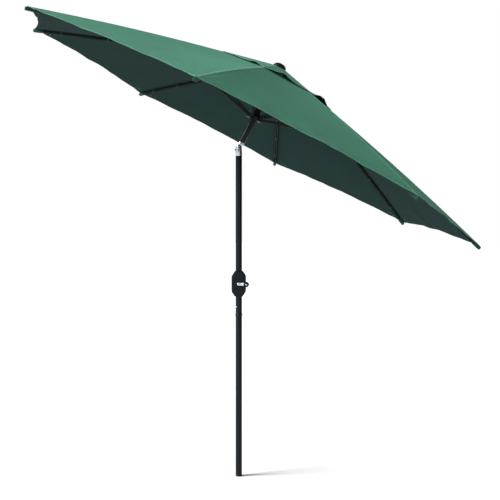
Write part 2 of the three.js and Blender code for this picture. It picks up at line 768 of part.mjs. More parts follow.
function ribBody() {
  const half = ribHeight / 2;
  const stations = 6;
  const shape = new THREE.Shape();
  shape.absarc(0, 0, half, Math.PI / 2, (3 * Math.PI) / 2, false);
  for (let station = 1; station <= stations; station++) {
    const x = (station / stations) * ribLength;
    shape.lineTo(x, bowAt(x) - half);
  }
  for (let station = stations; station > 0; station--) {
    const x = (station / stations) * ribLength;
    shape.lineTo(x, bowAt(x) + half);
  }
  const wireHole = new THREE.Path().absarc(0, 0, ringWireRadius + wireHoleGap, 0, 2 * Math.PI, true);
  shape.holes.push(wireHole);

  // the inside of the channel, open underneath
  const trough = [];
  const [troughStart, troughEnd] = [half + 6, ribLength - 10];
  for (let station = 0; station <= stations; station++) {
    const x = troughStart + (station / stations) * (troughEnd - troughStart);
    trough.push([x, bowAt(x) + half - channelWall]);
  }
  trough.push([troughEnd, -ribHeight], [troughStart, -ribHeight]);

  // ears that hold the strut, and the pin through them
  const earRadius = strutHeight / 2 + 2;
  const hingeAt = [Math.sqrt(armLength ** 2 - strutHingeZ ** 2), strutHingeZ];
  const ears = new THREE.Shape();
  ears.absarc(hingeAt[0], hingeAt[1], earRadius, Math.PI, 2 * Math.PI, false);
  ears.lineTo(hingeAt[0] + earRadius + 6, hingeAt[1] + bracketDrop);
  ears.lineTo(hingeAt[0] - earRadius - 6, hingeAt[1] + bracketDrop);
  const clear = strutWidth / 2 + runningGap;
  const gap = block(
    [hingeAt[0] - 3 * earRadius, -clear, hingeAt[1] - 2 * earRadius],
    [hingeAt[0] + 3 * earRadius, clear, hingeAt[1] + bracketDrop + half - channelWall - 2]
  );
  return slab(shape, ribWidth)
    .subtract(slab(outline(trough), ribWidth - 2 * channelWall))
    .add(slab(ears, ribWidth).subtract(gap))
    .add(crossRod(strutPinRadius, ribWidth - channelWall, ...hingeAt, 8));
}

function strutBody() {
  const half = strutHeight / 2;
  const shape = new THREE.Shape();
  shape.absarc(0, 0, half, Math.PI / 2, (3 * Math.PI) / 2, false);
  shape.absarc(armLength, 0, half, -Math.PI / 2, Math.PI / 2, false);
  const holes = [[0, ringWireRadius + wireHoleGap], [armLength, strutPinRadius + strutHingeGap]];
  for (const [x, radius] of holes) {
    shape.holes.push(new THREE.Path().absarc(x, 0, radius, 0, 2 * Math.PI, true));
  }
  const trough = block(
    [half + 8, -strutWidth / 2 + channelWall, -strutHeight],
    [armLength - half - 8, strutWidth / 2 - channelWall, half - channelWall]
  );
  return slab(shape, strutWidth).subtract(trough);
}

// the underside of the cloth over a rib, at a share of the rib's length: [radius, height]
function ridgeAt(share) {
  const x = share * ribLength;
  const z = bowAt(x) + ribHeight / 2 + clothGap;
  return [
    pivotRing + x * Math.cos(ribSlope) + z * Math.sin(ribSlope),
    hubPivotHeight - x * Math.sin(ribSlope) + z * Math.cos(ribSlope),
  ];
}

// the share of the rib at which its ridge reaches a radius, to within a hair
const shareAt = (radius) => (radius - pivotRing) / (canopyRadius - pivotRing);

// a point of a panel: `share` out along the rib, `across` from this rib (0) to the next (1)
function panelPoint(share, across) {
  const [radius, height] = ridgeAt(share);
  const here = new THREE.Vector3(radius, 0, height);
  const there = new THREE.Vector3(radius * Math.cos(sector), radius * Math.sin(sector), height);
  return here.lerp(there, across);
}

// the cloth that one rib carries: half of the panel on each side of it
function canopySection() {
  const start = shareAt(ventOpeningRadius);
  const corner = shareAt(canopyRadius);
  const seamGap = fitGap / 2;
  const pointAt = (out, side) => {
    const across = Math.abs(side - 0.5);
    const arch = 4 * across * (1 - across);
    const hem = corner * (1 - scallop * arch);
    const point = panelPoint(start + out * (hem - start), across);
    point.z -= panelSag * arch * Math.sin(Math.PI * out);
    if (across > 0.49) {
      point.x += seamGap * Math.sin(sector / 2);
      point.y -= seamGap * Math.cos(sector / 2);
    }
    if (side < 0.5) point.y = -point.y;
    return point;
  };
  return clothSolid(5, 6, pointAt);
}

// the cap over the vent opening: flat on the hub, corners low over the ribs, edges bowed up
function ventCanopy(seatHeight) {
  const rows = 5;
  const edge = ridgeAt(shareAt(ventRadius))[1] + ventGap;
  const hole = finialStudRadius + 4;
  const flat = crownRim / Math.cos(sector / 2) + 1; // the flat's corners, so that its sides clear the hub
  const pointAt = (out, round) => {
    const turn = round * ribCount;
    const rib = Math.floor(turn + 1e-6);
    const across = turn - rib;
    const arch = 4 * across * (1 - across);
    const seat = 1 / rows;
    const share = Math.max(0, (out - seat) / (1 - seat));
    const radius = out < seat / 2 ? hole : flat + share * (ventRadius - flat);
    const height = seatHeight + (edge - seatHeight) * share;
    const here = new THREE.Vector3(radius, 0, height);
    const there = here.clone().applyAxisAngle(up, sector);
    const point = here.lerp(there, across);
    point.z += ventBillow * arch * share ** 2;
    return point.applyAxisAngle(up, rib * sector);
  };
  return clothSolid(rows, ribCount * 4, pointAt, true);
}

function addSpokes(crown) {
  const [rib, strut, section] = [ribBody(), strutBody(), canopySection()];
  for (let number = 1; number <= ribCount; number++) {
    const spoke = new THREE.Group();
    spoke.rotation.z = (number - 1) * sector;
    crown.add(spoke);

    const ribMesh = add(spoke, `rib_${number}`, rib, "ribSteel");
    ribMesh.position.set(pivotRing, 0, hubPivotHeight);
    ribMesh.rotation.y = ribSlope;

    const strutMesh = add(spoke, `strut_${number}`, strut, "ribSteel");
    strutMesh.position.set(pivotRing, 0, runnerPivotHeight);
    strutMesh.rotation.y = -armSlope;

    add(spoke, `canopy_section_${number}`, section, "greenCloth");
  }
}

// ---------- assembly ----------

const umbrella = new THREE.Group();

addPoles(umbrella);
addSnapButton(umbrella);

const winch = new THREE.Group();
winch.position.z = crankHeight;
winch.rotation.x = Math.PI / 2;
umbrella.add(winch);
addWinchCasing(winch);
addWinch(winch);

const head = new THREE.Group();
head.position.z = pivotHeight;
head.rotation.y = tilt;
umbrella.add(head);
const knuckleTop = addKnuckle(umbrella, head);

const crown = new THREE.Group();
crown.rotation.z = THREE.MathUtils.degToRad(firstRibDeg);
head.add(crown);
const ventSeat = addCrown(crown, knuckleTop);
addRunner(crown);
addSpokes(crown);
add(crown, "vent_canopy", ventCanopy(ventSeat), "greenCloth");

export default umbrella;
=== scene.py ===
"""A crank-and-tilt market umbrella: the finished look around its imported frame.

Laid out as an add-on: sizes and colours are properties, each group of pieces has its own
operator, and main() registers everything and calls the operators in order.
"""

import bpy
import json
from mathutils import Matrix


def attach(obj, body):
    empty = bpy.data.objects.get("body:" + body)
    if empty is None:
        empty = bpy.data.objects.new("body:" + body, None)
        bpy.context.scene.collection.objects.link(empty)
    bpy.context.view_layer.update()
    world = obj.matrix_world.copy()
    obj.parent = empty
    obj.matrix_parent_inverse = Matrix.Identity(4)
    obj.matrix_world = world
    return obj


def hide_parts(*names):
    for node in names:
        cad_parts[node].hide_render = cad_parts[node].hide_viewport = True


bl_info = {
    "name": "Market umbrella",
    "version": (1, 0, 0),
    "blender": (4, 5, 0),
    "location": "View3D > Sidebar > Umbrella",
    "description": "Builds the canopy, poles, knuckle and winch of a crank-and-tilt umbrella",
    "category": "Object",
}

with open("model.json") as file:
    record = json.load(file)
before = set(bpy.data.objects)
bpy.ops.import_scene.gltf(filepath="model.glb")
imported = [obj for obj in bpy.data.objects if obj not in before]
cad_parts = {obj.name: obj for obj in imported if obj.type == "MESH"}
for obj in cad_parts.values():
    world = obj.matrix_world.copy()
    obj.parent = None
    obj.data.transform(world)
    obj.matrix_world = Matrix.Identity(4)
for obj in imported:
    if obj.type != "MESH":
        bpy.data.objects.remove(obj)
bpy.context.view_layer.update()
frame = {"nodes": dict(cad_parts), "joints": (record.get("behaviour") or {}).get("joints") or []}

import json
import math

import bmesh
import bpy
from bpy.props import FloatProperty, FloatVectorProperty, IntProperty, PointerProperty
from mathutils import Matrix, Vector, noise

# ---------- places taken from the frame ----------

JOINTS = {joint["name"]: joint for joint in frame["joints"]}
RIBS = range(1, 9)
SECTOR = 2 * math.pi / len(RIBS)
UP = Vector((0, 0, 1))


def joint_point(name):
    return Vector(JOINTS[name]["pos_m"])


def joint_axis(name):
    return Vector(JOINTS[name]["axis"]).normalized()


def axes_matrix(origin, x_axis, z_axis):
    """A frame with this origin whose X and Z run along the two given directions."""
    z_axis = z_axis.normalized()
    y_axis = z_axis.cross(x_axis).normalized()
    columns = (y_axis.cross(z_axis), y_axis, z_axis)
    turn = Matrix(columns).transposed()
    return Matrix.Translation(origin) @ turn.to_4x4()


HEAD = axes_matrix(
    joint_point("tilt"),
    joint_axis("tilt").cross(joint_axis("runner_slide")),
    joint_axis("runner_slide"),
)
POLE = Matrix.Identity(4)
SNAP_BEARING = math.atan2(joint_axis("snap_button").y, joint_axis("snap_button").x)
SNAP = POLE @ Matrix.Rotation(SNAP_BEARING, 4, "Z")


def bearing_of(number):
    """A rib's direction round the head pole, in the head's frame."""
    hinge = HEAD.inverted() @ joint_point(f"rib_{number}_fold")
    return math.atan2(hinge.y, hinge.x)


FIRST_BEARING = bearing_of(1)
# The head's frame, turned so that X runs out over each rib.
SPOKES = {number: HEAD @ Matrix.Rotation(bearing_of(number), 4, "Z") for number in RIBS}
WINCH = axes_matrix(joint_point("crank_turn"), Vector((1, 0, 0)), joint_axis("crank_turn"))


def corners_of(node):
    """A CAD node's corners at rest, as its mesh holds them."""
    return [vertex.co.copy() for vertex in frame["nodes"][node].data.vertices]


def span_in(node, matrix, axis):
    """How far a node reaches along one axis of a frame: (lowest, highest)."""
    back = matrix.inverted()
    values = [(back @ corner)[axis] for corner in corners_of(node)]
    return min(values), max(values)


FIT = 0.0003  # between parts that are fixed to each other
RUNNING = 0.0008  # between parts that move on each other
POLE_RADIUS = span_in("lower_pole", POLE, 0)[1]
HINGE_RING = (SPOKES[1].inverted() @ joint_point("rib_1_fold")).x
HUB_HEIGHT = (SPOKES[1].inverted() @ joint_point("rib_1_fold")).z
RUNNER_HEIGHT = (SPOKES[1].inverted() @ joint_point("strut_1_fold")).z


def rib_run_and_slope():
    """The rib's length from its hinge and its fall, from the far end of the CAD rib."""
    back = SPOKES[1].inverted()
    local = [back @ corner for corner in corners_of("rib_1")]
    reach = max(point.x for point in local)
    tip = [point.z for point in local if point.x > reach - 0.005]
    drop = HUB_HEIGHT - (max(tip) + min(tip)) / 2
    run = reach - HINGE_RING
    return math.hypot(run, drop), math.atan2(drop, run)


def finial_foot():
    """The height at which the finial's dome starts, outside its stud."""
    inverse = HEAD.inverted()
    points = [inverse @ corner for corner in corners_of("finial")]
    return min(point.z for point in points if math.hypot(point.x, point.y) > 0.02)


RIB_LENGTH, RIB_SLOPE = rib_run_and_slope()
FINIAL_FOOT = finial_foot()
CANOPY_RADIUS = span_in("canopy_section_1", SPOKES[1], 0)[1]


# ---------- sizes and colours a user would change ----------


def length(name, default, text):
    return FloatProperty(name=name, description=text, default=default, min=0.0, unit="LENGTH")


def colour(name, default, text):
    return FloatVectorProperty(
        name=name, description=text, default=default, size=3, min=0.0, max=1.0, subtype="COLOR"
    )


class UMBRELLA_PG_cloth(bpy.types.PropertyGroup):
    thickness: length("Thickness", 0.0008, "Thickness of the canopy cloth")
    gap: length("Gap over ribs", 0.0025, "Space between the ribs and the cloth")
    bow: length("Rib bow", 0.018, "Rise of the ribs' curve over its chord")
    rib_height: length("Rib height", 0.016, "Depth of the rib under the cloth")
    sag: length("Panel sag", 0.012, "How far a panel draws in between its ribs")
    scallop: FloatProperty(
        name="Scallop", description="How far the hem draws in, as a share of the rib",
        default=0.026, min=0.0, max=0.2, subtype="FACTOR",
    )
    vent_opening: length("Vent opening", 0.28, "Radius of the opening under the vent cap")
    vent_radius: length("Vent cap radius", 0.39, "Radius of the vent cap at its corners")
    vent_gap: length("Vent cap gap", 0.005, "Height of the cap's corners over the canopy")
    vent_billow: length("Vent cap billow", 0.003, "Rise of the cap's edge between its corners")
    ruffle: length("Vent ruffle", 0.012, "Height of the waves in the cap's edge")
    hem: length("Hem width", 0.022, "Width of the folded hem")
    seam: length("Seam width", 0.014, "Width of the felled seams over the ribs")
    stitch: length("Stitch pitch", 0.0052, "Distance from stitch to stitch")
    pucker: length("Puckers", 0.0011, "Height of the fine folds beside the seams")
    green: colour("Green", (0.046, 0.235, 0.142), "The canopy's outer side")
    hem_green: colour("Hem green", (0.078, 0.285, 0.185), "The folded hems")
    # The seam colour is lighter than the green: it is a painted highlight for the raised seam ridge
    # catching light, over the seam cloth's own colour.
    seam_green_and_highlight: colour("Seam green", (0.105, 0.330, 0.225), "The felled seams over the ribs")
    # Far darker than the outer green: painted shade for the canopy's underside, which lies in
    # shade, laid into the cloth's colour.
    lining: colour("Lining", (0.0134, 0.0310, 0.0292), "The canopy's coated inner side")
    thread: colour("Thread", (0.060, 0.170, 0.115), "The sewing thread")
    trim: colour("Trim", (0.014, 0.052, 0.036), "The tip pockets and ties")


class UMBRELLA_PG_metal(bpy.types.PropertyGroup):
    wall: length("Pole wall", 0.0015, "Wall of the steel poles")
    sides: IntProperty(name="Sides", description="Sides of a round", default=72, min=24, max=256)
    black: colour("Powder coat", (0.005, 0.008, 0.010), "The poles' powder coat")
    rib_black: colour("Rib coat", (0.007, 0.012, 0.012), "The ribs' and struts' coat")
    zinc: colour("Zinc", (0.66, 0.69, 0.72), "The die-cast knuckle and crank arm")
    steel: colour("Steel", (0.52, 0.54, 0.56), "Pins, screws and springs")
    satin: colour("Satin steel", (0.90, 0.92, 0.94), "The snap button")


class UMBRELLA_PG_plastic(bpy.types.PropertyGroup):
    black: colour("Black plastic", (0.0034, 0.0048, 0.0056), "Moulded parts")
    nylon: colour("Nylon", (0.62, 0.60, 0.54), "Bushes, drum and sheave")
    edge: length("Edge rounding", 0.0012, "Rounding of moulded edges")


class UMBRELLA_PG_stage(bpy.types.PropertyGroup):
    distance: length("Camera distance", 5.155, "From the pole to the camera")
    height: length("Camera height", 1.560, "Height of the level camera")
    bearing: FloatProperty(
        name="Bearing", description="The camera's turn round the pole", default=math.radians(1.32),
        subtype="ANGLE",
    )
    lens: FloatProperty(name="Lens", description="Focal length in millimetres", default=62.57)
    floor: colour("Floor", (0.92, 0.92, 0.92), "The pale floor")


# ---------- making meshes ----------


def rounded(points, radius, steps=3):
    """The same line with each corner between its ends turned into a short curve."""
    points = [Vector(point) for point in points]
    result = [points[0]]
    for before, corner, after in zip(points, points[1:], points[2:]):
        back, on = before - corner, after - corner
        cut = min(radius, back.length * 0.45, on.length * 0.45)
        start, end = corner + back.normalized() * cut, corner + on.normalized() * cut
        for step in range(steps + 1):
            share = step / steps
            result.append(start.lerp(corner, share).lerp(corner.lerp(end, share), share))
    return result + [points[-1]]


def turned(profile, sides, closed=False):
    """A round body about Z from (radius, height) points; closed joins the last to the first."""
    body = bmesh.new()
    rings = []
    for radius, height in profile:
        if radius < 1e-6:
            rings.append([body.verts.new((0, 0, height))] * sides)
            continue
        turn = [2 * math.pi * side / sides for side in range(sides)]
        rings.append([
            body.verts.new((radius * math.cos(angle), radius * math.sin(angle), height))
            for angle in turn
        ])
    pairs = list(zip(rings, rings[1:]))
    if closed:
        pairs.append((rings[-1], rings[0]))
    for low, high in pairs:
        for side in range(sides):
            after = (side + 1) % sides
            corners = [low[side], low[after], high[after], high[side]]
            kept = list(dict.fromkeys(corners))
            if len(kept) > 2:
                body.faces.new(kept)
    bmesh.ops.recalc_face_normals(body, faces=body.faces)
    return body


def tube(inner, outer, low, high, sides, lip=0.0006):
    """A round tube with eased ends."""
    ring = [(inner, low), (outer, low), (outer, high), (inner, high)]
    loop = rounded([(inner, (low + high) / 2)] + ring + [(inner, (low + high) / 2)], lip, 2)
    return turned([tuple(point) for point in loop[:-1]], sides, closed=True)


def loft(loops):
    """A closed skin over loops of equal count, with both ends filled."""
    body = bmesh.new()
    rows = [[body.verts.new(point) for point in loop] for loop in loops]
    count = len(rows[0])
    for low, high in zip(rows, rows[1:]):
        for side in range(count):
            after = (side + 1) % count
            body.faces.new((low[side], low[after], high[after], high[side]))
    body.faces.new(rows[0])
    body.faces.new(rows[-1])
    bmesh.ops.recalc_face_normals(body, faces=body.faces)
    return body


def slab(outline, width):
    """An outline in X and Z, as wide as width along Y."""
    sides = [[Vector((x, y, z)) for x, z in outline] for y in (-width / 2, width / 2)]
    return loft(sides)


def arc(centre, radius, start, end, steps):
    """Points on an arc, its angles in degrees."""
    angles = [math.radians(start + (end - start) * step / steps) for step in range(steps + 1)]
    return [
        (centre[0] + radius * math.cos(angle), centre[1] + radius * math.sin(angle))
        for angle in angles
    ]


def join(bodies):
    """Several bodies as one mesh, each still closed by itself."""
    whole = bmesh.new()
    for body in bodies:
        spare = bpy.data.meshes.new("spare")
        body.to_mesh(spare)
        body.free()
        whole.from_mesh(spare)
        bpy.data.meshes.remove(spare)
    return whole


SHARP = math.radians(38)  # edges that turn further than this are shaded hard


def new_object(name, body, matrix, materials, sharp=SHARP):
    """An object at the origin that holds the body, placed by matrix, shaded smooth."""
    body.transform(matrix)
    if matrix.determinant() < 0:
        bmesh.ops.reverse_faces(body, faces=body.faces)
    mesh = bpy.data.meshes.new(name)
    body.to_mesh(mesh)
    body.free()
    for material in materials:
        mesh.materials.append(material)
    mesh.shade_smooth()
    mesh.set_sharp_from_angle(angle=sharp)
    piece = bpy.data.objects.new(name, mesh)
    bpy.context.scene.collection.objects.link(piece)
    return piece


def bake_modifiers(piece):
    """Turns the modifiers into the piece's own mesh."""
    graph = bpy.context.evaluated_depsgraph_get()
    mesh = bpy.data.meshes.new_from_object(piece.evaluated_get(graph), depsgraph=graph)
    piece.modifiers.clear()
    old = piece.data
    piece.data = mesh
    mesh.name = piece.name
    bpy.data.meshes.remove(old)
    mesh.shade_smooth()
    mesh.set_sharp_from_angle(angle=SHARP)


def fit(piece, body, slot, *nodes):
    """Fastens a piece to its body and hides the CAD nodes it stands for; the finish slot is not
    used.
    """
    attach(piece, body)
    if nodes:
        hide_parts(*nodes)


# The finish slot that each finish belongs to.
SLOTS = {
    "trim_cloth": "green_cloth",
    "pole_coat": "powder_black",
    "rib_coat": "rib_steel",
    "moulded_black": "black_plastic",
    "smooth_black": "black_plastic",
    "cast_zinc": "zinc",
    "plated_steel": "steel",
    "satin_steel": "steel",
    "blackened_wire": "steel",
}


def part(name, shape, matrix, finish, body, *nodes):
    """A piece with one finish, fastened to its body; its finish's slot is looked up but not used.
    """
    piece = new_object(name, shape, matrix, [bpy.data.materials[finish]])
    fit(piece, body, SLOTS[finish], *nodes)


# ---------- materials ----------


class Nodes:
    """Short calls for building one material's node tree."""

    def __init__(self, name):
        self.material = bpy.data.materials.new(name)
        self.material.use_nodes = True
        self.tree = self.material.node_tree
        self.shader = self.tree.nodes["Principled BSDF"]

    def feed(self, socket, value):
        """Links a pattern into a socket, or sets a constant value on it."""
        if isinstance(value, bpy.types.NodeSocket):
            self.tree.links.new(value, socket)
        else:
            socket.default_value = value

    def add(self, kind, inputs=(), **settings):
        node = self.tree.nodes.new(kind)
        for key, value in settings.items():
            setattr(node, key, value)
        for key, value in dict(inputs).items():
            self.feed(node.inputs[key], value)
        return node

    def finished(self, inputs):
        """Feeds the shader's inputs and hands the material over."""
        for key, value in inputs.items():
            self.feed(self.shader.inputs[key], value)
        return self.material

    def place(self, scale=(1, 1, 1), turn=(0, 0, 0), uv=False):
        coordinates = self.add("ShaderNodeTexCoord").outputs["UV" if uv else "Object"]
        inputs = {"Vector": coordinates, "Scale": scale, "Rotation": turn}
        return self.add("ShaderNodeMapping", inputs).outputs["Vector"]

    def noise(self, vector, scale, detail=3.0, roughness=0.5):
        inputs = {"Vector": vector, "Scale": scale, "Detail": detail, "Roughness": roughness}
        return self.add("ShaderNodeTexNoise", inputs).outputs["Fac"]

    def spread(self, value, low, high, start=0.3, end=0.7):
        inputs = {
            "Value": value, "From Min": start, "From Max": end, "To Min": low, "To Max": high,
        }
        return self.add("ShaderNodeMapRange", inputs).outputs["Result"]

    def blend(self, factor, first, second):
        node = self.add("ShaderNodeMix", {0: factor, 6: first, 7: second}, data_type="RGBA")
        return node.outputs[2]

    def bump(self, height, strength, distance):
        inputs = {"Height": height, "Strength": strength, "Distance": distance}
        return self.add("ShaderNodeBump", inputs).outputs["Normal"]

    def maths(self, operation, first, second):
        node = self.add("ShaderNodeMath", {0: first, 1: second}, operation=operation)
        return node.outputs[0]


def shaded(base, factor):
    return (base[0] * factor, base[1] * factor, base[2] * factor, 1.0)


def finish_cloth(name, base, roughness=0.82, sheen=0.03, weave=0.35, gloss=0.12):
    """Plain-woven polyester: crossed yarns, slubs, faint dye and dust changes."""
    kit = Nodes(name)
    place, cloth = kit.place(), kit.place(uv=True)
    yarn = {"Vector": cloth, "Scale": 330.0, "Distortion": 0.6, "Detail": 1.0}
    warp, weft = (
        kit.add("ShaderNodeTexWave", yarn, bands_direction=way).outputs["Fac"] for way in "XY"
    )
    yarns = kit.maths("MULTIPLY", warp, weft)
    slub = kit.noise(kit.place((60, 2200, 1), uv=True), 1.0, 2.0)
    dye = kit.noise(place, 2.6, 4.0, 0.55)
    dust = kit.noise(place, 46.0, 5.0, 0.6)
    tone = kit.blend(kit.spread(dye, 0.0, 1.0), shaded(base, 0.90), shaded(base, 1.09))
    tone = kit.blend(kit.spread(slub, 0.0, 0.28), tone, shaded(base, 1.28))
    tone = kit.blend(kit.spread(yarns, 0.30, 0.0, 0.0, 0.6), tone, shaded(base, 0.62))
    tone = kit.blend(kit.spread(dust, 0.0, 0.12), tone, shaded(base, 1.5))
    height = kit.maths("ADD", yarns, kit.maths("MULTIPLY", slub, 0.6))
    return kit.finished({
        "Base Color": tone,
        "Roughness": kit.spread(dust, roughness - 0.06, roughness + 0.06),
        "Normal": kit.bump(height, weave, 0.0002),
        "Sheen Weight": sheen,
        "Sheen Roughness": 0.45,
        "Specular IOR Level": gloss,
    })


def finish_thread(name, base):
    """Twisted sewing thread."""
    kit = Nodes(name)
    place = kit.place((900, 900, 900), (0.4, 0.7, 0.3))
    inputs = {"Vector": place, "Scale": 1.4, "Distortion": 1.5}
    twist = kit.add("ShaderNodeTexWave", inputs).outputs["Fac"]
    return kit.finished({
        "Base Color": kit.blend(twist, shaded(base, 0.75), shaded(base, 1.25)),
        "Roughness": kit.spread(kit.noise(place, 0.5), 0.5, 0.7),
        "Normal": kit.bump(twist, 0.5, 0.0001),
    })


def finish_powder(name, base, roughness=0.36, metallic=0.25, peel=0.10, gloss=0.16, coat=0.02):
    """Powder-coated steel: fine orange peel, faint hand marks and dust."""
    kit = Nodes(name)
    place = kit.place()
    marks = kit.noise(kit.place((1, 1, 0.25)), 14.0, 6.0, 0.62)
    grain = kit.noise(place, 1500.0, 2.0)
    dust = kit.noise(place, 160.0, 5.0, 0.7)
    tone = kit.blend(kit.spread(marks, 0.0, 1.0), shaded(base, 0.85), shaded(base, 1.2))
    tone = kit.blend(kit.spread(dust, 0.0, 0.3, 0.55, 0.8), tone, shaded(base, 1.8))
    return kit.finished({
        "Base Color": tone,
        "Roughness": kit.spread(marks, roughness - 0.07, roughness + 0.09),
        "Normal": kit.bump(grain, peel, 0.0003),
        "Metallic": metallic,
        "Specular IOR Level": gloss,
        "Coat Weight": coat,
        "Coat Roughness": 0.2,
    })


def finish_plastic(name, base, roughness=0.52, grain_scale=900.0, depth=0.35, glint_brightness=3.2):
    """Moulded plastic with a spark-eroded grain, rubbed patches and fine light specks painted in as
    glints.
    """
    kit = Nodes(name)
    place = kit.place()
    cells = kit.add("ShaderNodeTexVoronoi", {"Vector": place, "Scale": grain_scale})
    fine = kit.noise(place, grain_scale * 2.2, 2.0)
    rub = kit.noise(place, 30.0, 5.0, 0.6)
    painted_glints = kit.noise(place, 240.0, 3.0, 0.6)
    tone = kit.blend(kit.spread(rub, 0.0, 1.0), shaded(base, 0.82), shaded(base, 1.35))
    tone = kit.blend(kit.spread(fine, 0.0, 0.18, 0.5, 0.8), tone, shaded(base, 2.6))
    # Painted glints: fine light specks laid into the colour stand in for sparkles of light off the
    # grain.
    tone = kit.blend(kit.spread(painted_glints, 0.0, 1.0, 0.45, 0.7), tone, shaded(base, glint_brightness))
    height = kit.maths("ADD", cells.outputs["Distance"], kit.maths("MULTIPLY", fine, 0.5))
    return kit.finished({
        "Base Color": tone,
        "Roughness": kit.spread(rub, roughness - 0.1, roughness + 0.08),
        "Normal": kit.bump(height, depth, 0.0004),
        "Specular IOR Level": 0.12,
    })


def finish_metal(name, base, roughness=0.27, grain=(300, 300, 30), depth=0.10):
    """Bare die-cast or plated metal: faint flow marks, tarnish and tiny pits."""
    kit = Nodes(name)
    place = kit.place()
    flow = kit.noise(kit.place(grain), 1.0, 4.0, 0.55)
    tarnish = kit.noise(place, 55.0, 6.0, 0.65)
    pits = kit.add("ShaderNodeTexVoronoi", {"Vector": place, "Scale": 420.0}).outputs["Distance"]
    height = kit.maths("ADD", flow, kit.spread(pits, -0.6, 0.0, 0.0, 0.12))
    return kit.finished({
        "Base Color": kit.blend(
            kit.spread(tarnish, 0.0, 1.0), shaded(base, 0.74), shaded(base, 1.05)
        ),
        "Roughness": kit.spread(tarnish, roughness + 0.12, roughness - 0.05),
        "Normal": kit.bump(height, depth, 0.0003),
        "Metallic": 1.0,
    })


def finish_nylon(name, base):
    """Natural nylon: milky, slightly glossy, with faint flow lines."""
    kit = Nodes(name)
    flow = kit.noise(kit.place((40, 40, 300)), 1.0, 3.0)
    return kit.finished({
        "Base Color": kit.blend(
            kit.spread(flow, 0.0, 1.0), shaded(base, 0.88), shaded(base, 1.08)
        ),
        "Roughness": kit.spread(kit.noise(kit.place(), 200.0), 0.32, 0.5),
        "Normal": kit.bump(flow, 0.08, 0.0003),
    })


def finish_floor(name, base):
    """A pale seamless floor."""
    kit = Nodes(name)
    cloud = kit.spread(kit.noise(kit.place(), 0.6, 3.0), 0.0, 1.0)
    tone = kit.blend(cloud, shaded(base, 0.99), shaded(base, 1.01))
    return kit.finished({"Base Color": tone, "Roughness": 0.9})


def make_finishes(scene):
    """Makes every finish that isn't there yet."""
    cloth, metal, plastic = scene.umbrella_cloth, scene.umbrella_metal, scene.umbrella_plastic
    lining = {"roughness": 0.95, "sheen": 0.0, "weave": 0.25, "gloss": 0.03}
    trim = {"roughness": 0.85, "sheen": 0.05, "weave": 0.5}
    rib = {"roughness": 0.55, "metallic": 0.0, "peel": 0.08, "gloss": 0.15, "coat": 0.0}
    smooth = {"roughness": 0.38, "grain_scale": 1400.0, "depth": 0.12, "glint_brightness": 1.4}
    plated = {"roughness": 0.24, "grain": (200, 200, 200), "depth": 0.06}
    finishes = {
        "canopy_cloth": (finish_cloth, cloth.green, {}),
        "canopy_lining": (finish_cloth, cloth.lining, lining),
        "hem_cloth": (finish_cloth, cloth.hem_green, {"roughness": 0.78, "sheen": 0.05}),
        "seam_cloth": (finish_cloth, cloth.seam_green_and_highlight, {"roughness": 0.78, "sheen": 0.08}),
        "trim_cloth": (finish_cloth, cloth.trim, trim),
        "sewing_thread": (finish_thread, cloth.thread, {}),
        "pole_coat": (finish_powder, metal.black, {}),
        "rib_coat": (finish_powder, metal.rib_black, rib),
        "moulded_black": (finish_plastic, plastic.black, {}),
        "smooth_black": (finish_plastic, plastic.black, smooth),
        "cast_zinc": (finish_metal, metal.zinc, {}),
        "plated_steel": (finish_metal, metal.steel, plated),
        "blackened_wire": (finish_metal, metal.rib_black, {**plated, "roughness": 0.5}),
        "satin_steel": (finish_metal, metal.satin, {"roughness": 0.45}),
        "natural_nylon": (finish_nylon, plastic.nylon, {}),
    }
    for name, (make, base, settings) in finishes.items():
        if name not in bpy.data.materials:
            make(name, base, **settings)


# ---------- the canopy's shape ----------


NEAR = 0.002  # distance to the neighbouring points a normal is taken from


def upward(along, sideways):
    """The normal of a surface that points up, from two directions in it."""
    normal = along.cross(sideways).normalized()
    return normal if normal.z >= 0 else -normal


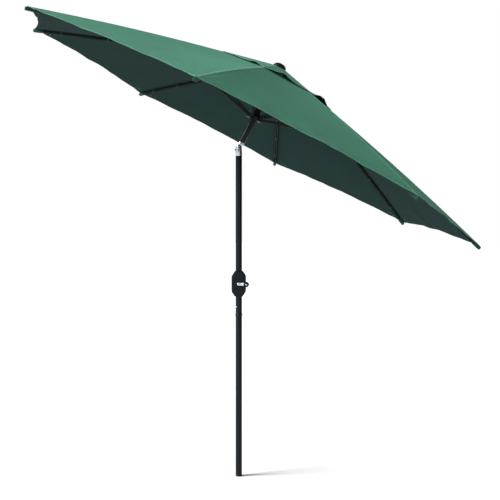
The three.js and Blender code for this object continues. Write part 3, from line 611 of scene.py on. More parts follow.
class Canopy:
    """Where the cloth lies, in a spoke's frame: X out over the rib, Z along the head pole."""

    edge_rows = 5
    seam_columns = 3
    panel_columns = 30
    rows = 132
    step_up = 0.0004  # run over which the cloth thickens at a hem or a seam

    # The puckers beside a seam, and how far from it they die away.
    pucker_rates = ((36.0, 1.0), (78.0, 0.6))
    pucker_reach = 0.035
    pucker_start = 0.006
    pucker_gain = 1.6
    # The waves near the hem, the slack of the panel and the gathers in the hem.
    wave_rate, wave_height = 8.5, 0.0075
    sway_rate, sway_height = 2.1, 0.0085
    gather_rate, gather_height = 27.0, 0.0016
    gather_share = 0.03
    # The pulls that fan out from a rib's tip.
    pull_count, pull_height = 21.0, 0.0022
    pull_reach = 0.24
    pull_start = 0.02

    def __init__(self, sizes):
        self.sizes = sizes
        self.start = self.share_at(sizes.vent_opening)

    def share_at(self, radius):
        return (radius - HINGE_RING) / (CANOPY_RADIUS - HINGE_RING)

    def bow(self, along):
        return 4 * self.sizes.bow * along * (RIB_LENGTH - along) / RIB_LENGTH ** 2

    def ridge(self, share, lift=0.0):
        """Radius and height of the cloth's underside over the rib."""
        along = share * RIB_LENGTH
        over = self.bow(along) + self.sizes.rib_height / 2 + self.sizes.gap + lift
        radius = HINGE_RING + along * math.cos(RIB_SLOPE) + over * math.sin(RIB_SLOPE)
        height = HUB_HEIGHT - along * math.sin(RIB_SLOPE) + over * math.cos(RIB_SLOPE)
        return radius, height

    def panel(self, share, across, side):
        """A point of the flat panel beside the rib; side is 1 or -1."""
        radius, height = self.ridge(share)
        here = Vector((radius, 0, height))
        there = Vector((radius * math.cos(SECTOR), side * radius * math.sin(SECTOR), height))
        return here.lerp(there, across)

    def half_width(self, out):
        share = self.start + out * (1 - self.start)
        return self.ridge(share)[0] * math.sin(SECTOR / 2)

    def smooth(self, out, aside):
        """The panel with its sag and scalloped hem; aside is the distance from the rib."""
        across = min(abs(aside) / (2 * self.half_width(out)), 0.5)
        side = 1 if aside >= 0 else -1
        arch = 4 * across * (1 - across)
        hem = 1 - self.sizes.scallop * arch
        point = self.panel(self.start + out * (hem - self.start), across, side)
        point.z -= self.sizes.sag * arch * math.sin(math.pi * out)
        return point

    def pulls(self, out, aside, bearing):
        """The folds that fan out from the rib's tip, from -1 to 1."""
        inward, sideways = (1 - out) * RIB_LENGTH, abs(aside)
        fan = math.atan2(sideways, inward + self.pull_start)
        fold = math.sin(fan * self.pull_count + 2.0 * math.sin(bearing * 5))
        fade = math.exp(-math.hypot(inward, sideways) / self.pull_reach)
        return fold * fade * min(sideways / self.pull_start, 1.0)

    def creases(self, out, aside, bearing):
        """Small folds: puckers at the seams, waves at the hem and pulls from the tips."""
        sideways = abs(aside)
        free = min(sideways / self.half_width(out), 1.0)
        place = Matrix.Rotation(bearing, 4, "Z") @ self.smooth(out, aside)
        run = out * (1 - self.start) * RIB_LENGTH
        pucker = 0.0
        for rate, weight in self.pucker_rates:
            pucker += weight * noise.noise(Vector((run * rate, math.copysign(3.0, aside), bearing)))
        pucker *= math.exp(-sideways / self.pucker_reach) * min(sideways / self.pucker_start, 1.0)
        wave = noise.noise(place * self.wave_rate) * out ** 5 * free ** 0.7
        slack = noise.noise(place * self.sway_rate + Vector((4.0, 1.0, 7.0)))
        slack *= free * math.sin(math.pi * out) ** 0.5
        gather = noise.noise(place * self.gather_rate) * free ** 0.5
        gather *= math.exp(-(1 - out) / self.gather_share)
        return (
            self.pucker_gain * self.sizes.pucker * pucker
            + self.wave_height * wave
            + self.sway_height * slack
            + self.pull_height * (1 - free) * self.pulls(out, aside, bearing)
            + self.gather_height * gather
        )

    def at(self, out, aside, bearing):
        """The underside's point and its outward direction."""
        width = self.half_width(out)
        along = self.smooth(min(out + NEAR, 1), aside) - self.smooth(max(out - NEAR, 0), aside)
        inner = max(min(aside, width - 2 * NEAR), -width + 2 * NEAR)
        up = upward(along, self.smooth(out, inner + NEAR) - self.smooth(out, inner - NEAR))
        return self.smooth(out, aside) + up * self.creases(out, aside, bearing), up

    def row_values(self):
        """Shares out along the cloth, closer together in the hems."""
        length_out = RIB_LENGTH * (1 - self.start)
        hem = self.sizes.hem / length_out
        step = self.step_up / length_out
        first = [hem * row / self.edge_rows for row in range(self.edge_rows)]
        middle = [
            hem + step + (1 - 2 * hem - 2 * step) * row / self.rows for row in range(self.rows + 1)
        ]
        last = [1 - hem * (1 - row / self.edge_rows) for row in range(self.edge_rows + 1)]
        return first + [hem] + middle + last

    def column_values(self, width):
        """Distances from the rib on one side: the seam's own columns, then the panel's."""
        half = self.sizes.seam / 2
        seam = [half * column / self.seam_columns for column in range(self.seam_columns + 1)]
        start = half + self.step_up
        panel = [
            start + (width - start) * column / self.panel_columns
            for column in range(self.panel_columns + 1)
        ]
        return seam + panel


class VentCap:
    """Where the vent cap lies, in the head's frame, from a share out and a turn round it."""

    seat_margin = 0.001  # from the hub's corners to the start of the slope
    wave_rate, flutter_rate, curl_rate = 4.2, 9.5, 6.0
    # The folds that stand up at the edge: their span, its share, their spread and rise.
    lifts = ((6, 0.45, 0.16, 0.012), (7, 0.45, 0.20, 0.022))

    def __init__(self, sizes):
        canopy = Canopy(sizes)
        self.sizes = sizes
        self.rim = span_in("hub", HEAD, 0)[1] / math.cos(SECTOR / 2) + self.seat_margin
        self.reach = sizes.vent_radius - self.rim
        self.seat = span_in("vent_canopy", HEAD, 2)[1] - sizes.thickness
        corner = canopy.ridge(canopy.share_at(sizes.vent_radius))[1]
        self.fall = corner + sizes.vent_gap - self.seat

    def wave(self, turn, layer, rate):
        """Smooth noise round the cap; every layer has a pattern of its own."""
        return noise.noise(Vector((math.cos(turn), math.sin(turn), layer)) * rate)

    def edge_rise(self, turn, span, step, arch, out):
        """How far the loose edge stands up between its corners."""
        ruffle = max(self.wave(turn, 0.3, self.wave_rate) - 0.05, 0.0) * 2.6
        ruffle += 0.35 * abs(self.wave(turn, 2.7, self.flutter_rate))
        rise = self.sizes.vent_billow * arch * out ** 2
        rise += self.sizes.ruffle * ruffle * (0.3 + 0.7 * arch) * out ** 7
        for lifted, centre, spread, height in self.lifts:
            if lifted == span % len(RIBS):
                rise += height * arch * out ** 8 * math.exp(-((step - centre) / spread) ** 2)
        return rise

    def shape(self, out, turn):
        span, step = divmod((turn - FIRST_BEARING) / SECTOR, 1.0)
        radius = self.rim + out * self.reach
        height = self.seat + out * self.fall
        start, end = (
            Vector((radius * math.cos(bearing), radius * math.sin(bearing), height))
            for bearing in (FIRST_BEARING, FIRST_BEARING + SECTOR)
        )
        arch = 4 * step * (1 - step)
        point = Matrix.Rotation(span * SECTOR, 4, "Z") @ start.lerp(end, step)
        point.z += self.edge_rise(turn, span, step, arch, out)
        curl = self.wave(turn, 5.1, self.curl_rate)
        shrink = 1 - (0.02 + 0.018 * curl) * arch * out ** 3
        return Vector((point.x * shrink, point.y * shrink, point.z))

    def at(self, out, turn):
        """The underside's point and its outward direction."""
        along = self.shape(min(out + NEAR, 1), turn) - self.shape(max(out - NEAR, 0), turn)
        up = upward(along, self.shape(out, turn + NEAR) - self.shape(out, turn - NEAR))
        return self.shape(out, turn), up


CLOTH_FINISHES = ("canopy_cloth", "canopy_lining", "hem_cloth", "seam_cloth")
PANEL, LINING_PAINTED_SHADE, HEM, SEAM_AND_HIGHLIGHT = range(len(CLOTH_FINISHES))
CLOTH_SHARP = math.radians(50)
TINY = 1e-5
FOLDED = 0.9  # what a hem or a seam adds to the cloth, in layers of it
STITCH_SEAT = 1.95  # height of the stitches over a fold, in layers of cloth
STITCH_LENGTH = 0.36  # half of a stitch's length, as a share of the pitch
THREAD = 0.00032
SEAM_STITCHES = 0.3  # distance of a seam's stitches from its middle, in seam widths


def sheet_body(rows, finish_at, around=False):
    """A closed sheet from rows of (underside, upper side, uv); finish_at names the upper finish.

    A sheet that runs around holds in each sample, as a fourth value, its uv's whole turn.
    """
    body = bmesh.new()
    uv_layer = body.loops.layers.uv.new("cloth")
    count = len(rows[0])
    low = [[body.verts.new(sample[0]) for sample in row] for row in rows]
    high = [[body.verts.new(sample[1]) for sample in row] for row in rows]

    def face(corners, places, finish):
        made = body.faces.new(corners)
        made.material_index = finish
        for loop, (row, column) in zip(made.loops, places):
            u, v = rows[row][column % count][2]
            if around and column == count:
                u += rows[row][0][3]
            loop[uv_layer].uv = (u, v)

    last = count if around else count - 1
    for row in range(len(rows) - 1):
        for column in range(last):
            places = [(row, column), (row + 1, column), (row + 1, column + 1), (row, column + 1)]
            top = [high[r][c % count] for r, c in places]
            under = [low[r][c % count] for r, c in places]
            face(top, places, finish_at(row, column))
            # Underside faces take the lining finish, whose dark colour is painted shade.
            face(under[::-1], places[::-1], LINING_PAINTED_SHADE)
    for row in (0, len(rows) - 1):
        for column in range(last):
            after = (column + 1) % count
            corners = [low[row][column], low[row][after], high[row][after], high[row][column]]
            places = [(row, column), (row, column + 1), (row, column + 1), (row, column)]
            face(corners, places, finish_at(min(row, len(rows) - 2), column))
    if not around:
        for column in (0, count - 1):
            for row in range(len(rows) - 1):
                corners = [
                    low[row][column], low[row + 1][column],
                    high[row + 1][column], high[row][column],
                ]
                places = [(row, column), (row + 1, column), (row + 1, column), (row, column)]
                face(corners, places, finish_at(row, min(column, count - 2)))
    bmesh.ops.recalc_face_normals(body, faces=body.faces)
    return body


def stitch_tree():
    """Geometry nodes, made once: a small stitch at every pitch along the lines."""
    name = "stitch rows"
    if name in bpy.data.node_groups:
        return bpy.data.node_groups[name]
    tree = bpy.data.node_groups.new(name, "GeometryNodeTree")
    face = tree.interface
    face.new_socket("Lines", in_out="INPUT", socket_type="NodeSocketGeometry")
    face.new_socket("Pitch", in_out="INPUT", socket_type="NodeSocketFloat")
    face.new_socket("Stitches", in_out="OUTPUT", socket_type="NodeSocketGeometry")
    nodes, links = tree.nodes, tree.links
    enter, leave = nodes.new("NodeGroupInput"), nodes.new("NodeGroupOutput")
    curve = nodes.new("GeometryNodeMeshToCurve")
    resample = nodes.new("GeometryNodeResampleCurve")
    resample.mode = "LENGTH"
    tangent = nodes.new("GeometryNodeInputTangent")
    upward = nodes.new("GeometryNodeInputNamedAttribute")
    upward.data_type = "FLOAT_VECTOR"
    upward.inputs["Name"].default_value = "up"
    along = nodes.new("FunctionNodeAlignRotationToVector")
    along.axis = "X"
    facing = nodes.new("FunctionNodeAlignRotationToVector")
    facing.axis = "Z"
    facing.pivot_axis = "X"
    bead = nodes.new("GeometryNodeMeshUVSphere")
    bead.inputs["Segments"].default_value = 6
    bead.inputs["Rings"].default_value = 4
    bead.inputs["Radius"].default_value = 1.0
    stretch = nodes.new("ShaderNodeCombineXYZ")
    stretch.inputs["Y"].default_value = THREAD
    stretch.inputs["Z"].default_value = THREAD
    long = nodes.new("ShaderNodeMath")
    long.operation = "MULTIPLY"
    long.inputs[1].default_value = STITCH_LENGTH
    placed = nodes.new("GeometryNodeInstanceOnPoints")
    solid = nodes.new("GeometryNodeRealizeInstances")
    wires = [
        (enter.outputs["Lines"], curve.inputs["Mesh"]),
        (curve.outputs["Curve"], resample.inputs["Curve"]),
        (enter.outputs["Pitch"], resample.inputs["Length"]),
        (tangent.outputs["Tangent"], along.inputs["Vector"]),
        (along.outputs["Rotation"], facing.inputs["Rotation"]),
        (upward.outputs["Attribute"], facing.inputs["Vector"]),
        (enter.outputs["Pitch"], long.inputs[0]),
        (long.outputs[0], stretch.inputs["X"]),
        (resample.outputs["Curve"], placed.inputs["Points"]),
        (bead.outputs["Mesh"], placed.inputs["Instance"]),
        (facing.outputs["Rotation"], placed.inputs["Rotation"]),
        (stretch.outputs["Vector"], placed.inputs["Scale"]),
        (placed.outputs["Instances"], solid.inputs["Geometry"]),
        (solid.outputs["Geometry"], leave.inputs["Stitches"]),
    ]
    for source, target in wires:
        links.new(source, target)
    return tree


def stitched(name, lines, pitch, matrix):
    """Stitches along lines of (place, upward) pairs, placed by matrix."""
    body = bmesh.new()
    up_layer = body.verts.layers.float_vector.new("up")
    for line in lines:
        before = None
        for place, upward in line:
            vertex = body.verts.new(place)
            vertex[up_layer] = upward
            if before is not None:
                body.edges.new((before, vertex))
            before = vertex
    mesh = bpy.data.meshes.new(name)
    body.to_mesh(mesh)
    body.free()
    piece = bpy.data.objects.new(name, mesh)
    bpy.context.scene.collection.objects.link(piece)
    modifier = piece.modifiers.new("stitches", "NODES")
    modifier.node_group = stitch_tree()
    modifier[modifier.node_group.interface.items_tree["Pitch"].identifier] = pitch
    bake_modifiers(piece)
    piece.data.materials.clear()
    piece.data.materials.append(bpy.data.materials["sewing_thread"])
    piece.data.transform(matrix)
    return piece


# ---------- cloth ----------


class UMBRELLA_OT_canopy(bpy.types.Operator):
    """Makes the eight cloth sections with their hems, seams and stitches."""

    bl_idname = "umbrella.canopy"
    bl_label = "Canopy"

    hem_roll = 0.002  # over which the cloth's thickness rounds off at its hem
    seam_stitch_end = 0.012
    seam_stitch_steps = 120
    hem_stitch_insets = (0.12, 0.86)
    hem_stitch_start, hem_stitch_end = 0.55, 0.01  # from the rib and the edge, in seam widths
    hem_stitch_steps = 64

    def section_rows(self, canopy, bearing):
        """The section's samples, thicker where its hems and its seam are folded."""
        sizes = canopy.sizes
        length_out = RIB_LENGTH * (1 - canopy.start)
        rows = []
        for out in canopy.row_values():
            edge = min(out, 1 - out) * length_out
            hemmed = edge < sizes.hem + TINY
            right = canopy.column_values(canopy.half_width(out))
            row = []
            for aside in [-value for value in reversed(right[1:])] + right:
                point, up = canopy.at(out, aside, bearing)
                seamed = abs(aside) < sizes.seam / 2 + TINY
                layers = 1 + FOLDED * (hemmed + seamed)
                roll = 0.5 * sizes.thickness * max(0.0, 1 - edge / self.hem_roll) * layers
                top = point + up * (sizes.thickness * layers - roll)
                row.append((point + up * roll, top, (aside, out * length_out)))
            rows.append(row)
        return rows

    def section(self, number, canopy, bearing):
        rows = self.section_rows(canopy, bearing)
        hem_rows = canopy.edge_rows + 1
        middle = (len(rows[0]) - 1) // 2

        def finish_at(row, column):
            if row < hem_rows or row >= len(rows) - 1 - hem_rows:
                return HEM
            # Seam faces take the seam finish, whose lighter colour is a painted highlight.
            on_seam = middle - canopy.seam_columns <= column < middle + canopy.seam_columns
            return SEAM_AND_HIGHLIGHT if on_seam else PANEL

        finish = [bpy.data.materials[name] for name in CLOTH_FINISHES]
        body = sheet_body(rows, finish_at)
        return new_object(f"canopy_cloth_{number}", body, SPOKES[number], finish, CLOTH_SHARP)

    def stitch_lines(self, canopy, bearing):
        """Two lines of stitches along the seam, and two along each half of each hem."""
        sizes = canopy.sizes
        length_out = RIB_LENGTH * (1 - canopy.start)
        over = sizes.thickness * STITCH_SEAT
        lines = []

        def add(places):
            line = []
            for out, aside in places:
                point, up = canopy.at(out, aside, bearing)
                line.append((point + up * over, up))
            lines.append(line)

        steps = self.seam_stitch_steps
        end = self.seam_stitch_end
        outs = [end + (1 - 2 * end) * step / steps for step in range(steps + 1)]
        for side in (1, -1):
            add([(out, side * SEAM_STITCHES * sizes.seam) for out in outs])
        steps = self.hem_stitch_steps
        first = self.hem_stitch_start * sizes.seam
        last = self.hem_stitch_end * sizes.seam
        for inset in self.hem_stitch_insets:
            share = sizes.hem * inset / length_out
            for out in (share, 1 - share):
                run = canopy.half_width(out) - first - last
                for side in (1, -1):
                    add([(out, side * (first + run * step / steps)) for step in range(steps + 1)])
        return lines

    def execute(self, context):
        make_finishes(context.scene)
        sizes = context.scene.umbrella_cloth
        canopy = Canopy(sizes)
        inner, outer = canopy.half_width(0), canopy.half_width(1)
        for number in RIBS:
            bearing = bearing_of(number)
            cloth = self.section(number, canopy, bearing)
            lines = self.stitch_lines(canopy, bearing)
            thread = stitched(f"stitches_{number}", lines, sizes.stitch, SPOKES[number])
            body = f"rib_{number}"
            fit(cloth, body, "green_cloth", f"canopy_section_{number}")
            fit(thread, body, "green_cloth")
        return {"FINISHED"}


class UMBRELLA_OT_vent(bpy.types.Operator):
    """Makes the wind vent's cap: a smaller canopy with a hemmed, wavy edge."""

    bl_idname = "umbrella.vent"
    bl_label = "Vent cap"

    columns = 36  # from rib to rib
    rows = 54
    hem_rows = 4
    hem_share = 0.8  # of the canopy's hem
    uv_radius = 0.3  # at which the cloth's pattern has its true size round the cap
    hem_stitch_insets = (0.15, 0.85)
    seam_start = 0.03
    seam_stitch_steps = 59

    def turns(self, count):
        return [FIRST_BEARING + 2 * math.pi * step / count for step in range(count)]

    def sheet_rows(self, cap, hem):
        """The flat ring that the hub cap holds down, then the slope and its hem."""
        sizes = cap.sizes
        columns = self.columns * len(RIBS)
        whole = 2 * math.pi * self.uv_radius
        ring = [HEAD.inverted() @ corner for corner in corners_of("vent_canopy")]
        hole = min(math.hypot(point.x, point.y) for point in ring)
        rows = []
        for spot in (hole, (hole + cap.rim) / 2):
            row = []
            for turn in self.turns(columns):
                point = Vector((spot * math.cos(turn), spot * math.sin(turn), cap.seat))
                top = point + UP * sizes.thickness
                row.append((point, top, (turn * self.uv_radius, spot), whole))
            rows.append(row)
        outs = [row / self.rows * (1 - hem) for row in range(self.rows + 1)]
        outs.append(1 - hem + Canopy.step_up / cap.reach)
        outs += [1 - hem * (1 - row / self.hem_rows) for row in range(1, self.hem_rows + 1)]
        for out in outs:
            row = []
            spot = cap.rim + out * cap.reach
            for turn in self.turns(columns):
                point, up = cap.at(out, turn)
                hemmed = out > 1 - hem
                step = abs(((turn - FIRST_BEARING) / SECTOR + 0.5) % 1.0 - 0.5)
                seamed = step * SECTOR * spot < sizes.seam / 2 and out > self.seam_start
                top = point + up * sizes.thickness * (1 + FOLDED * (hemmed + seamed))
                row.append((point, top, (turn * self.uv_radius, spot), whole))
            rows.append(row)
        return rows

    def stitch_lines(self, cap, hem):
        """Two lines round the hem, and one along each side of every seam."""
        sizes = cap.sizes
        lines = []

        def add(places):
            line = []
            for out, turn in places:
                point, up = cap.at(out, turn)
                line.append((point + up * sizes.thickness * STITCH_SEAT, up))
            lines.append(line)

        turns = self.turns(2 * self.columns * len(RIBS))
        turns.append(FIRST_BEARING + 2 * math.pi)
        for inset in self.hem_stitch_insets:
            add([(1 - hem * inset, turn) for turn in turns])
        steps = self.seam_stitch_steps
        outs = [0.05 + 0.93 * step / steps for step in range(steps + 1)]
        for bearing in self.turns(len(RIBS)):
            for side in (1, -1):
                offset = side * SEAM_STITCHES * sizes.seam
                add([(out, bearing + offset / (cap.rim + out * cap.reach)) for out in outs])
        return lines

    def execute(self, context):
        make_finishes(context.scene)
        sizes = context.scene.umbrella_cloth
        shape = VentCap(sizes)
        hem = sizes.hem * self.hem_share / shape.reach
        rows = self.sheet_rows(shape, hem)
        hem_start = len(rows) - self.hem_rows - 2
        body = sheet_body(rows, lambda row, column: HEM if row >= hem_start else PANEL, True)
        # The cap's hem takes the seam finish, with its painted highlight.
        names = ("canopy_cloth", "canopy_lining", "seam_cloth")
        finish = [bpy.data.materials[name] for name in names]
        cap = new_object("vent_cap", body, HEAD, finish, CLOTH_SHARP)
        thread = stitched("vent_stitches", self.stitch_lines(shape, hem), sizes.stitch, HEAD)
        fit(cap, "head", "green_cloth", "vent_canopy")
        fit(thread, "head", "green_cloth")
        return {"FINISHED"}


# ---------- carving solid parts ----------

MERGE_WITHIN = 0.00002
FLAT_WITHIN = math.radians(1)
BEVEL_OVER = math.radians(35)


def combined(operation, base, bodies):
    """The base after one boolean operation with each of the bodies."""
    piece = new_object("carved", base, POLE, [])
    for body in bodies:
        tool = new_object("tool", body, POLE, [])
        boolean = piece.modifiers.new("carve", "BOOLEAN")
        boolean.operation = operation
        boolean.solver = "EXACT"
        boolean.object = tool
        bake_modifiers(piece)
        spare = tool.data
        bpy.data.objects.remove(tool)
        bpy.data.meshes.remove(spare)
    return taken(piece)


def taken(piece):
    """The piece's mesh as a body; the piece itself goes."""
    body = bmesh.new()
    body.from_mesh(piece.data)
    spare = piece.data
    bpy.data.objects.remove(piece)
    bpy.data.meshes.remove(spare)
    return body


def cut(base, *bodies):
    return combined("DIFFERENCE", base, bodies)


def softened(body, width, segments=2):
    """The body with its hard edges rounded, once corners that coincide are joined."""
    bmesh.ops.remove_doubles(body, verts=body.verts, dist=MERGE_WITHIN)
    bmesh.ops.dissolve_limit(body, angle_limit=FLAT_WITHIN, verts=body.verts, edges=body.edges)
    piece = new_object("softened", body, POLE, [])
    bevel = piece.modifiers.new("edges", "BEVEL")
    bevel.width = width
    bevel.segments = segments
    bevel.limit_method = "ANGLE"
    bevel.angle_limit = BEVEL_OVER
    bevel.use_clamp_overlap = True
    bevel.miter_outer = "MITER_ARC"
    bake_modifiers(piece)
    return taken(piece)


def moved(body, x=0.0, y=0.0, z=0.0):
    body.transform(Matrix.Translation((x, y, z)))
    return body


def rod(radius, low, high, sides=32):
    return turned([(0, low), (radius, low), (radius, high), (0, high)], sides)


def lying(body, axis):
    """A body made about Z, turned to lie along X or Y."""
    turn = Matrix.Rotation(math.pi / 2, 4, "Y" if axis == "X" else "X")
    body.transform(turn)
    return body


def cross_rod(radius, half, x=0.0, z=0.0, sides=32):
    """A rod along Y through (x, z)."""
    return moved(lying(rod(radius, -half, half, sides), "Y"), x=x, z=z)


def box(low, high):
    body = bmesh.new()
    bmesh.ops.create_cube(body, size=1.0)
    low, high = Vector(low), Vector(high)
    size = high - low
    body.transform(Matrix.Translation((low + high) / 2) @ Matrix.Diagonal((*size, 1.0)))
    return body


def plate(outline, low, high):
    """An outline in X and Y, from one height to another."""
    return loft([[Vector((x, y, z)) for x, y in outline] for z in (low, high)])


def rounded_loop(points, radius, steps=5):
    """A closed outline with its corners rounded."""
    count = len(points)
    result = []
    for index in range(count):
        before = Vector(points[index - 1])
        corner = Vector(points[index])
        after = Vector(points[(index + 1) % count])
        part = rounded([before, corner, after], radius, steps)
        result.extend(part[1:-1])
    return result


def around_spokes(make):
    """One body for every spoke, joined; make gives the body of the spoke along X."""
    bodies = []
    for number in range(len(RIBS)):
        body = make()
        body.transform(Matrix.Rotation(number * SECTOR, 4, "Z"))
        bodies.append(body)
    whole = join(bodies)
    whole.transform(Matrix.Rotation(FIRST_BEARING, 4, "Z"))
    return whole


def refinish(node, finish):
    """Gives a CAD node that stays in view its finish."""
    mesh = frame["nodes"][node].data
    mesh.materials.clear()
    mesh.materials.append(bpy.data.materials[finish])


# ---------- ribs and struts ----------


class UMBRELLA_OT_ribs(bpy.types.Operator):
    """Makes the ribs with their ears, tip pockets and ties, and the struts."""

    bl_idname = "umbrella.ribs"
    bl_label = "Ribs and struts"

    width = 0.014
    wall = 0.001
    solid_root = 0.014
    solid_tip = 0.010
    arm = 0.560
    drop = 0.016
    ear_radius = 0.008
    strut_width = 0.008
    strut_height = 0.012
    wire_hole = 0.0029
    pin_radius = 0.0025
    pin_gap = 0.0016
    rivet_head = ((0, 0), (0.0042, 0), (0.0040, 0.0007), (0.0026, 0.0013), (0, 0.0015))
    lip = 0.0018  # of the channel, turned in underneath
    stations = 44
    tie_places = (0.47, 0.68, 0.88)
    tie_width = 0.013

    def channel(self, canopy):
        """The bowed channel, open underneath."""
        half, height = self.width / 2, canopy.sizes.rib_height / 2
        inner, lip = half - self.wall, half - self.wall - self.lip
        section = [
            (-half, -height), (-half, height), (half, height), (half, -height),
            (lip, -height), (lip, -height + self.wall),
            (inner, -height + self.wall), (inner, height - self.wall),
            (-inner, height - self.wall), (-inner, -height + self.wall),
            (-lip, -height + self.wall), (-lip, -height),
        ]
        section = rounded_loop(section, 0.0009, 2)
        loops = []
        for station in range(self.stations + 1):
            x = self.solid_root - 0.001
            x += (RIB_LENGTH - self.solid_tip + 0.001 - x) * station / self.stations
            loops.append([Vector((x, point[0], point[1] + canopy.bow(x))) for point in section])
        return loft(loops)

    def rib(self, canopy):
        half = canopy.sizes.rib_height / 2
        root = slab(
            arc((0, 0), half, 90, 270, 20)
            + [(self.solid_root, canopy.bow(self.solid_root) - half),
               (self.solid_root, canopy.bow(self.solid_root) + half)],
            self.width,
        )
        root = softened(cut(root, cross_rod(self.wire_hole, self.width, sides=24)), 0.0007)
        end = RIB_LENGTH - self.solid_tip
        tip = slab(
            [(end, canopy.bow(end) - half), (RIB_LENGTH, -half), (RIB_LENGTH, half),
             (end, canopy.bow(end) + half)],
            self.width,
        )
        bracket = canopy.bow(self.arm) - self.drop
        hinge = (math.sqrt(self.arm ** 2 - bracket ** 2), bracket)
        ear = arc(hinge, self.ear_radius, 180, 360, 18)
        flare = self.ear_radius + 0.006
        ear += [(hinge[0] + flare, hinge[1] + self.drop), (hinge[0] - flare, hinge[1] + self.drop)]
        clear = self.strut_width / 2 + RUNNING
        leaf = self.width / 2 - clear
        bodies = [root, softened(tip, 0.0006), self.channel(canopy)]
        for side in (1, -1):
            plate_body = softened(slab(ear, leaf), 0.0005)
            bodies.append(moved(plate_body, y=side * (clear + leaf / 2)))
            head = turned(self.rivet_head, 20)
            head.transform(Matrix.Rotation(-side * math.pi / 2, 4, "X"))
            bodies.append(moved(head, x=hinge[0], y=side * self.width / 2, z=hinge[1]))
        bodies.append(cross_rod(self.pin_radius, self.width / 2, hinge[0], hinge[1], 20))
        return join(bodies)

    def strut(self):
        half = self.strut_height / 2
        outline = arc((0, 0), half, 90, 270, 20) + arc((self.arm, 0), half, -90, 90, 20)
        body = slab(outline, self.strut_width)
        margin = half + 0.008
        inner = self.strut_width / 2 - self.wall
        trough = box((margin, -inner, -0.02), (self.arm - margin, inner, half - self.wall))
        through = 0.02
        body = cut(
            body,
            cross_rod(self.wire_hole, through, sides=24),
            cross_rod(self.pin_radius + self.pin_gap, through, x=self.arm),
            trough,
        )
        return softened(body, 0.0004)

    def tip_pocket(self, canopy):
        """A sewn sleeve, closed at its end, that the rib's tip sits in."""
        half, wide = canopy.sizes.rib_height / 2, self.width / 2
        gap, cloth, run, reach = 0.0003, 0.0010, 0.062, 0.0042

        def ring(x, grow, soft=0.003):
            up, out = half + grow, wide + grow
            top = min(up, half + 0.0014)
            corners = [(-out, -up), (out, -up), (out, top), (-out, top)]
            return [Vector((x, y, z)) for y, z in rounded_loop(corners, soft, 4)]

        loops = [ring(0.0006, gap), ring(-run, gap), ring(-run, gap + cloth)]
        steps = 12
        for step in range(1, steps):
            share = step / steps
            puff = 0.0012 * math.sin(math.pi * share) + 0.0004 * math.sin(9 * math.pi * share)
            loops.append(ring(-run * (1 - share), gap + cloth + puff))
        loops += [ring(0.0012, gap + cloth), ring(0.0032, gap + 0.0004), ring(reach, -0.0012)]
        return loft(loops)

    def tie(self, canopy):
        """A sewn loop of tape that holds the cloth to the rib."""
        half, wide = canopy.sizes.rib_height / 2, self.width / 2
        gap, tape = 0.0003, 0.0009
        run = self.tie_width / 2
        y, z = wide + gap, half + gap
        outer = box((-run, -y - tape, -z - tape), (run, y + tape, z + tape))
        inner = box((-1, -y, -z), (1, y, z))
        return softened(cut(outer, inner), 0.0004)

    def execute(self, context):
        make_finishes(context.scene)
        canopy = Canopy(context.scene.umbrella_cloth)
        rib, strut = self.rib(canopy), self.strut()
        pocket, tie = self.tip_pocket(canopy), self.tie(canopy)
        slope = math.asin((HUB_HEIGHT - RUNNER_HEIGHT) / (2 * self.arm))
        for number in RIBS:
            upper, lower = f"rib_{number}", f"strut_{number}"
            place = SPOKES[number] @ Matrix.Translation((HINGE_RING, 0, HUB_HEIGHT))
            place = place @ Matrix.Rotation(RIB_SLOPE, 4, "Y")
            part(f"rib_bar_{number}", rib.copy(), place, "rib_coat", upper, upper)
            lean = math.atan(-canopy.bow(RIB_LENGTH - 0.001) / 0.001)
            end = place @ Matrix.Translation((RIB_LENGTH, 0, 0)) @ Matrix.Rotation(-lean, 4, "Y")
            part(f"tip_pocket_{number}", pocket.copy(), end, "trim_cloth", upper)
            loops = []
            for share in self.tie_places:
                x = share * RIB_LENGTH
                rise = (canopy.bow(x + 0.01) - canopy.bow(x - 0.01)) / 0.02
                loop = tie.copy()
                turn = Matrix.Rotation(-math.atan(rise), 4, "Y")
                loop.transform(Matrix.Translation((x, 0, canopy.bow(x))) @ turn)
                loops.append(loop)
            part(f"rib_ties_{number}", join(loops), place, "trim_cloth", upper)
            place = SPOKES[number] @ Matrix.Translation((HINGE_RING, 0, RUNNER_HEIGHT))
            place = place @ Matrix.Rotation(-slope, 4, "Y")
            part(f"strut_bar_{number}", strut.copy(), place, "rib_coat", lower, lower)
        return {"FINISHED"}


# ---------- hub, runner and finial ----------


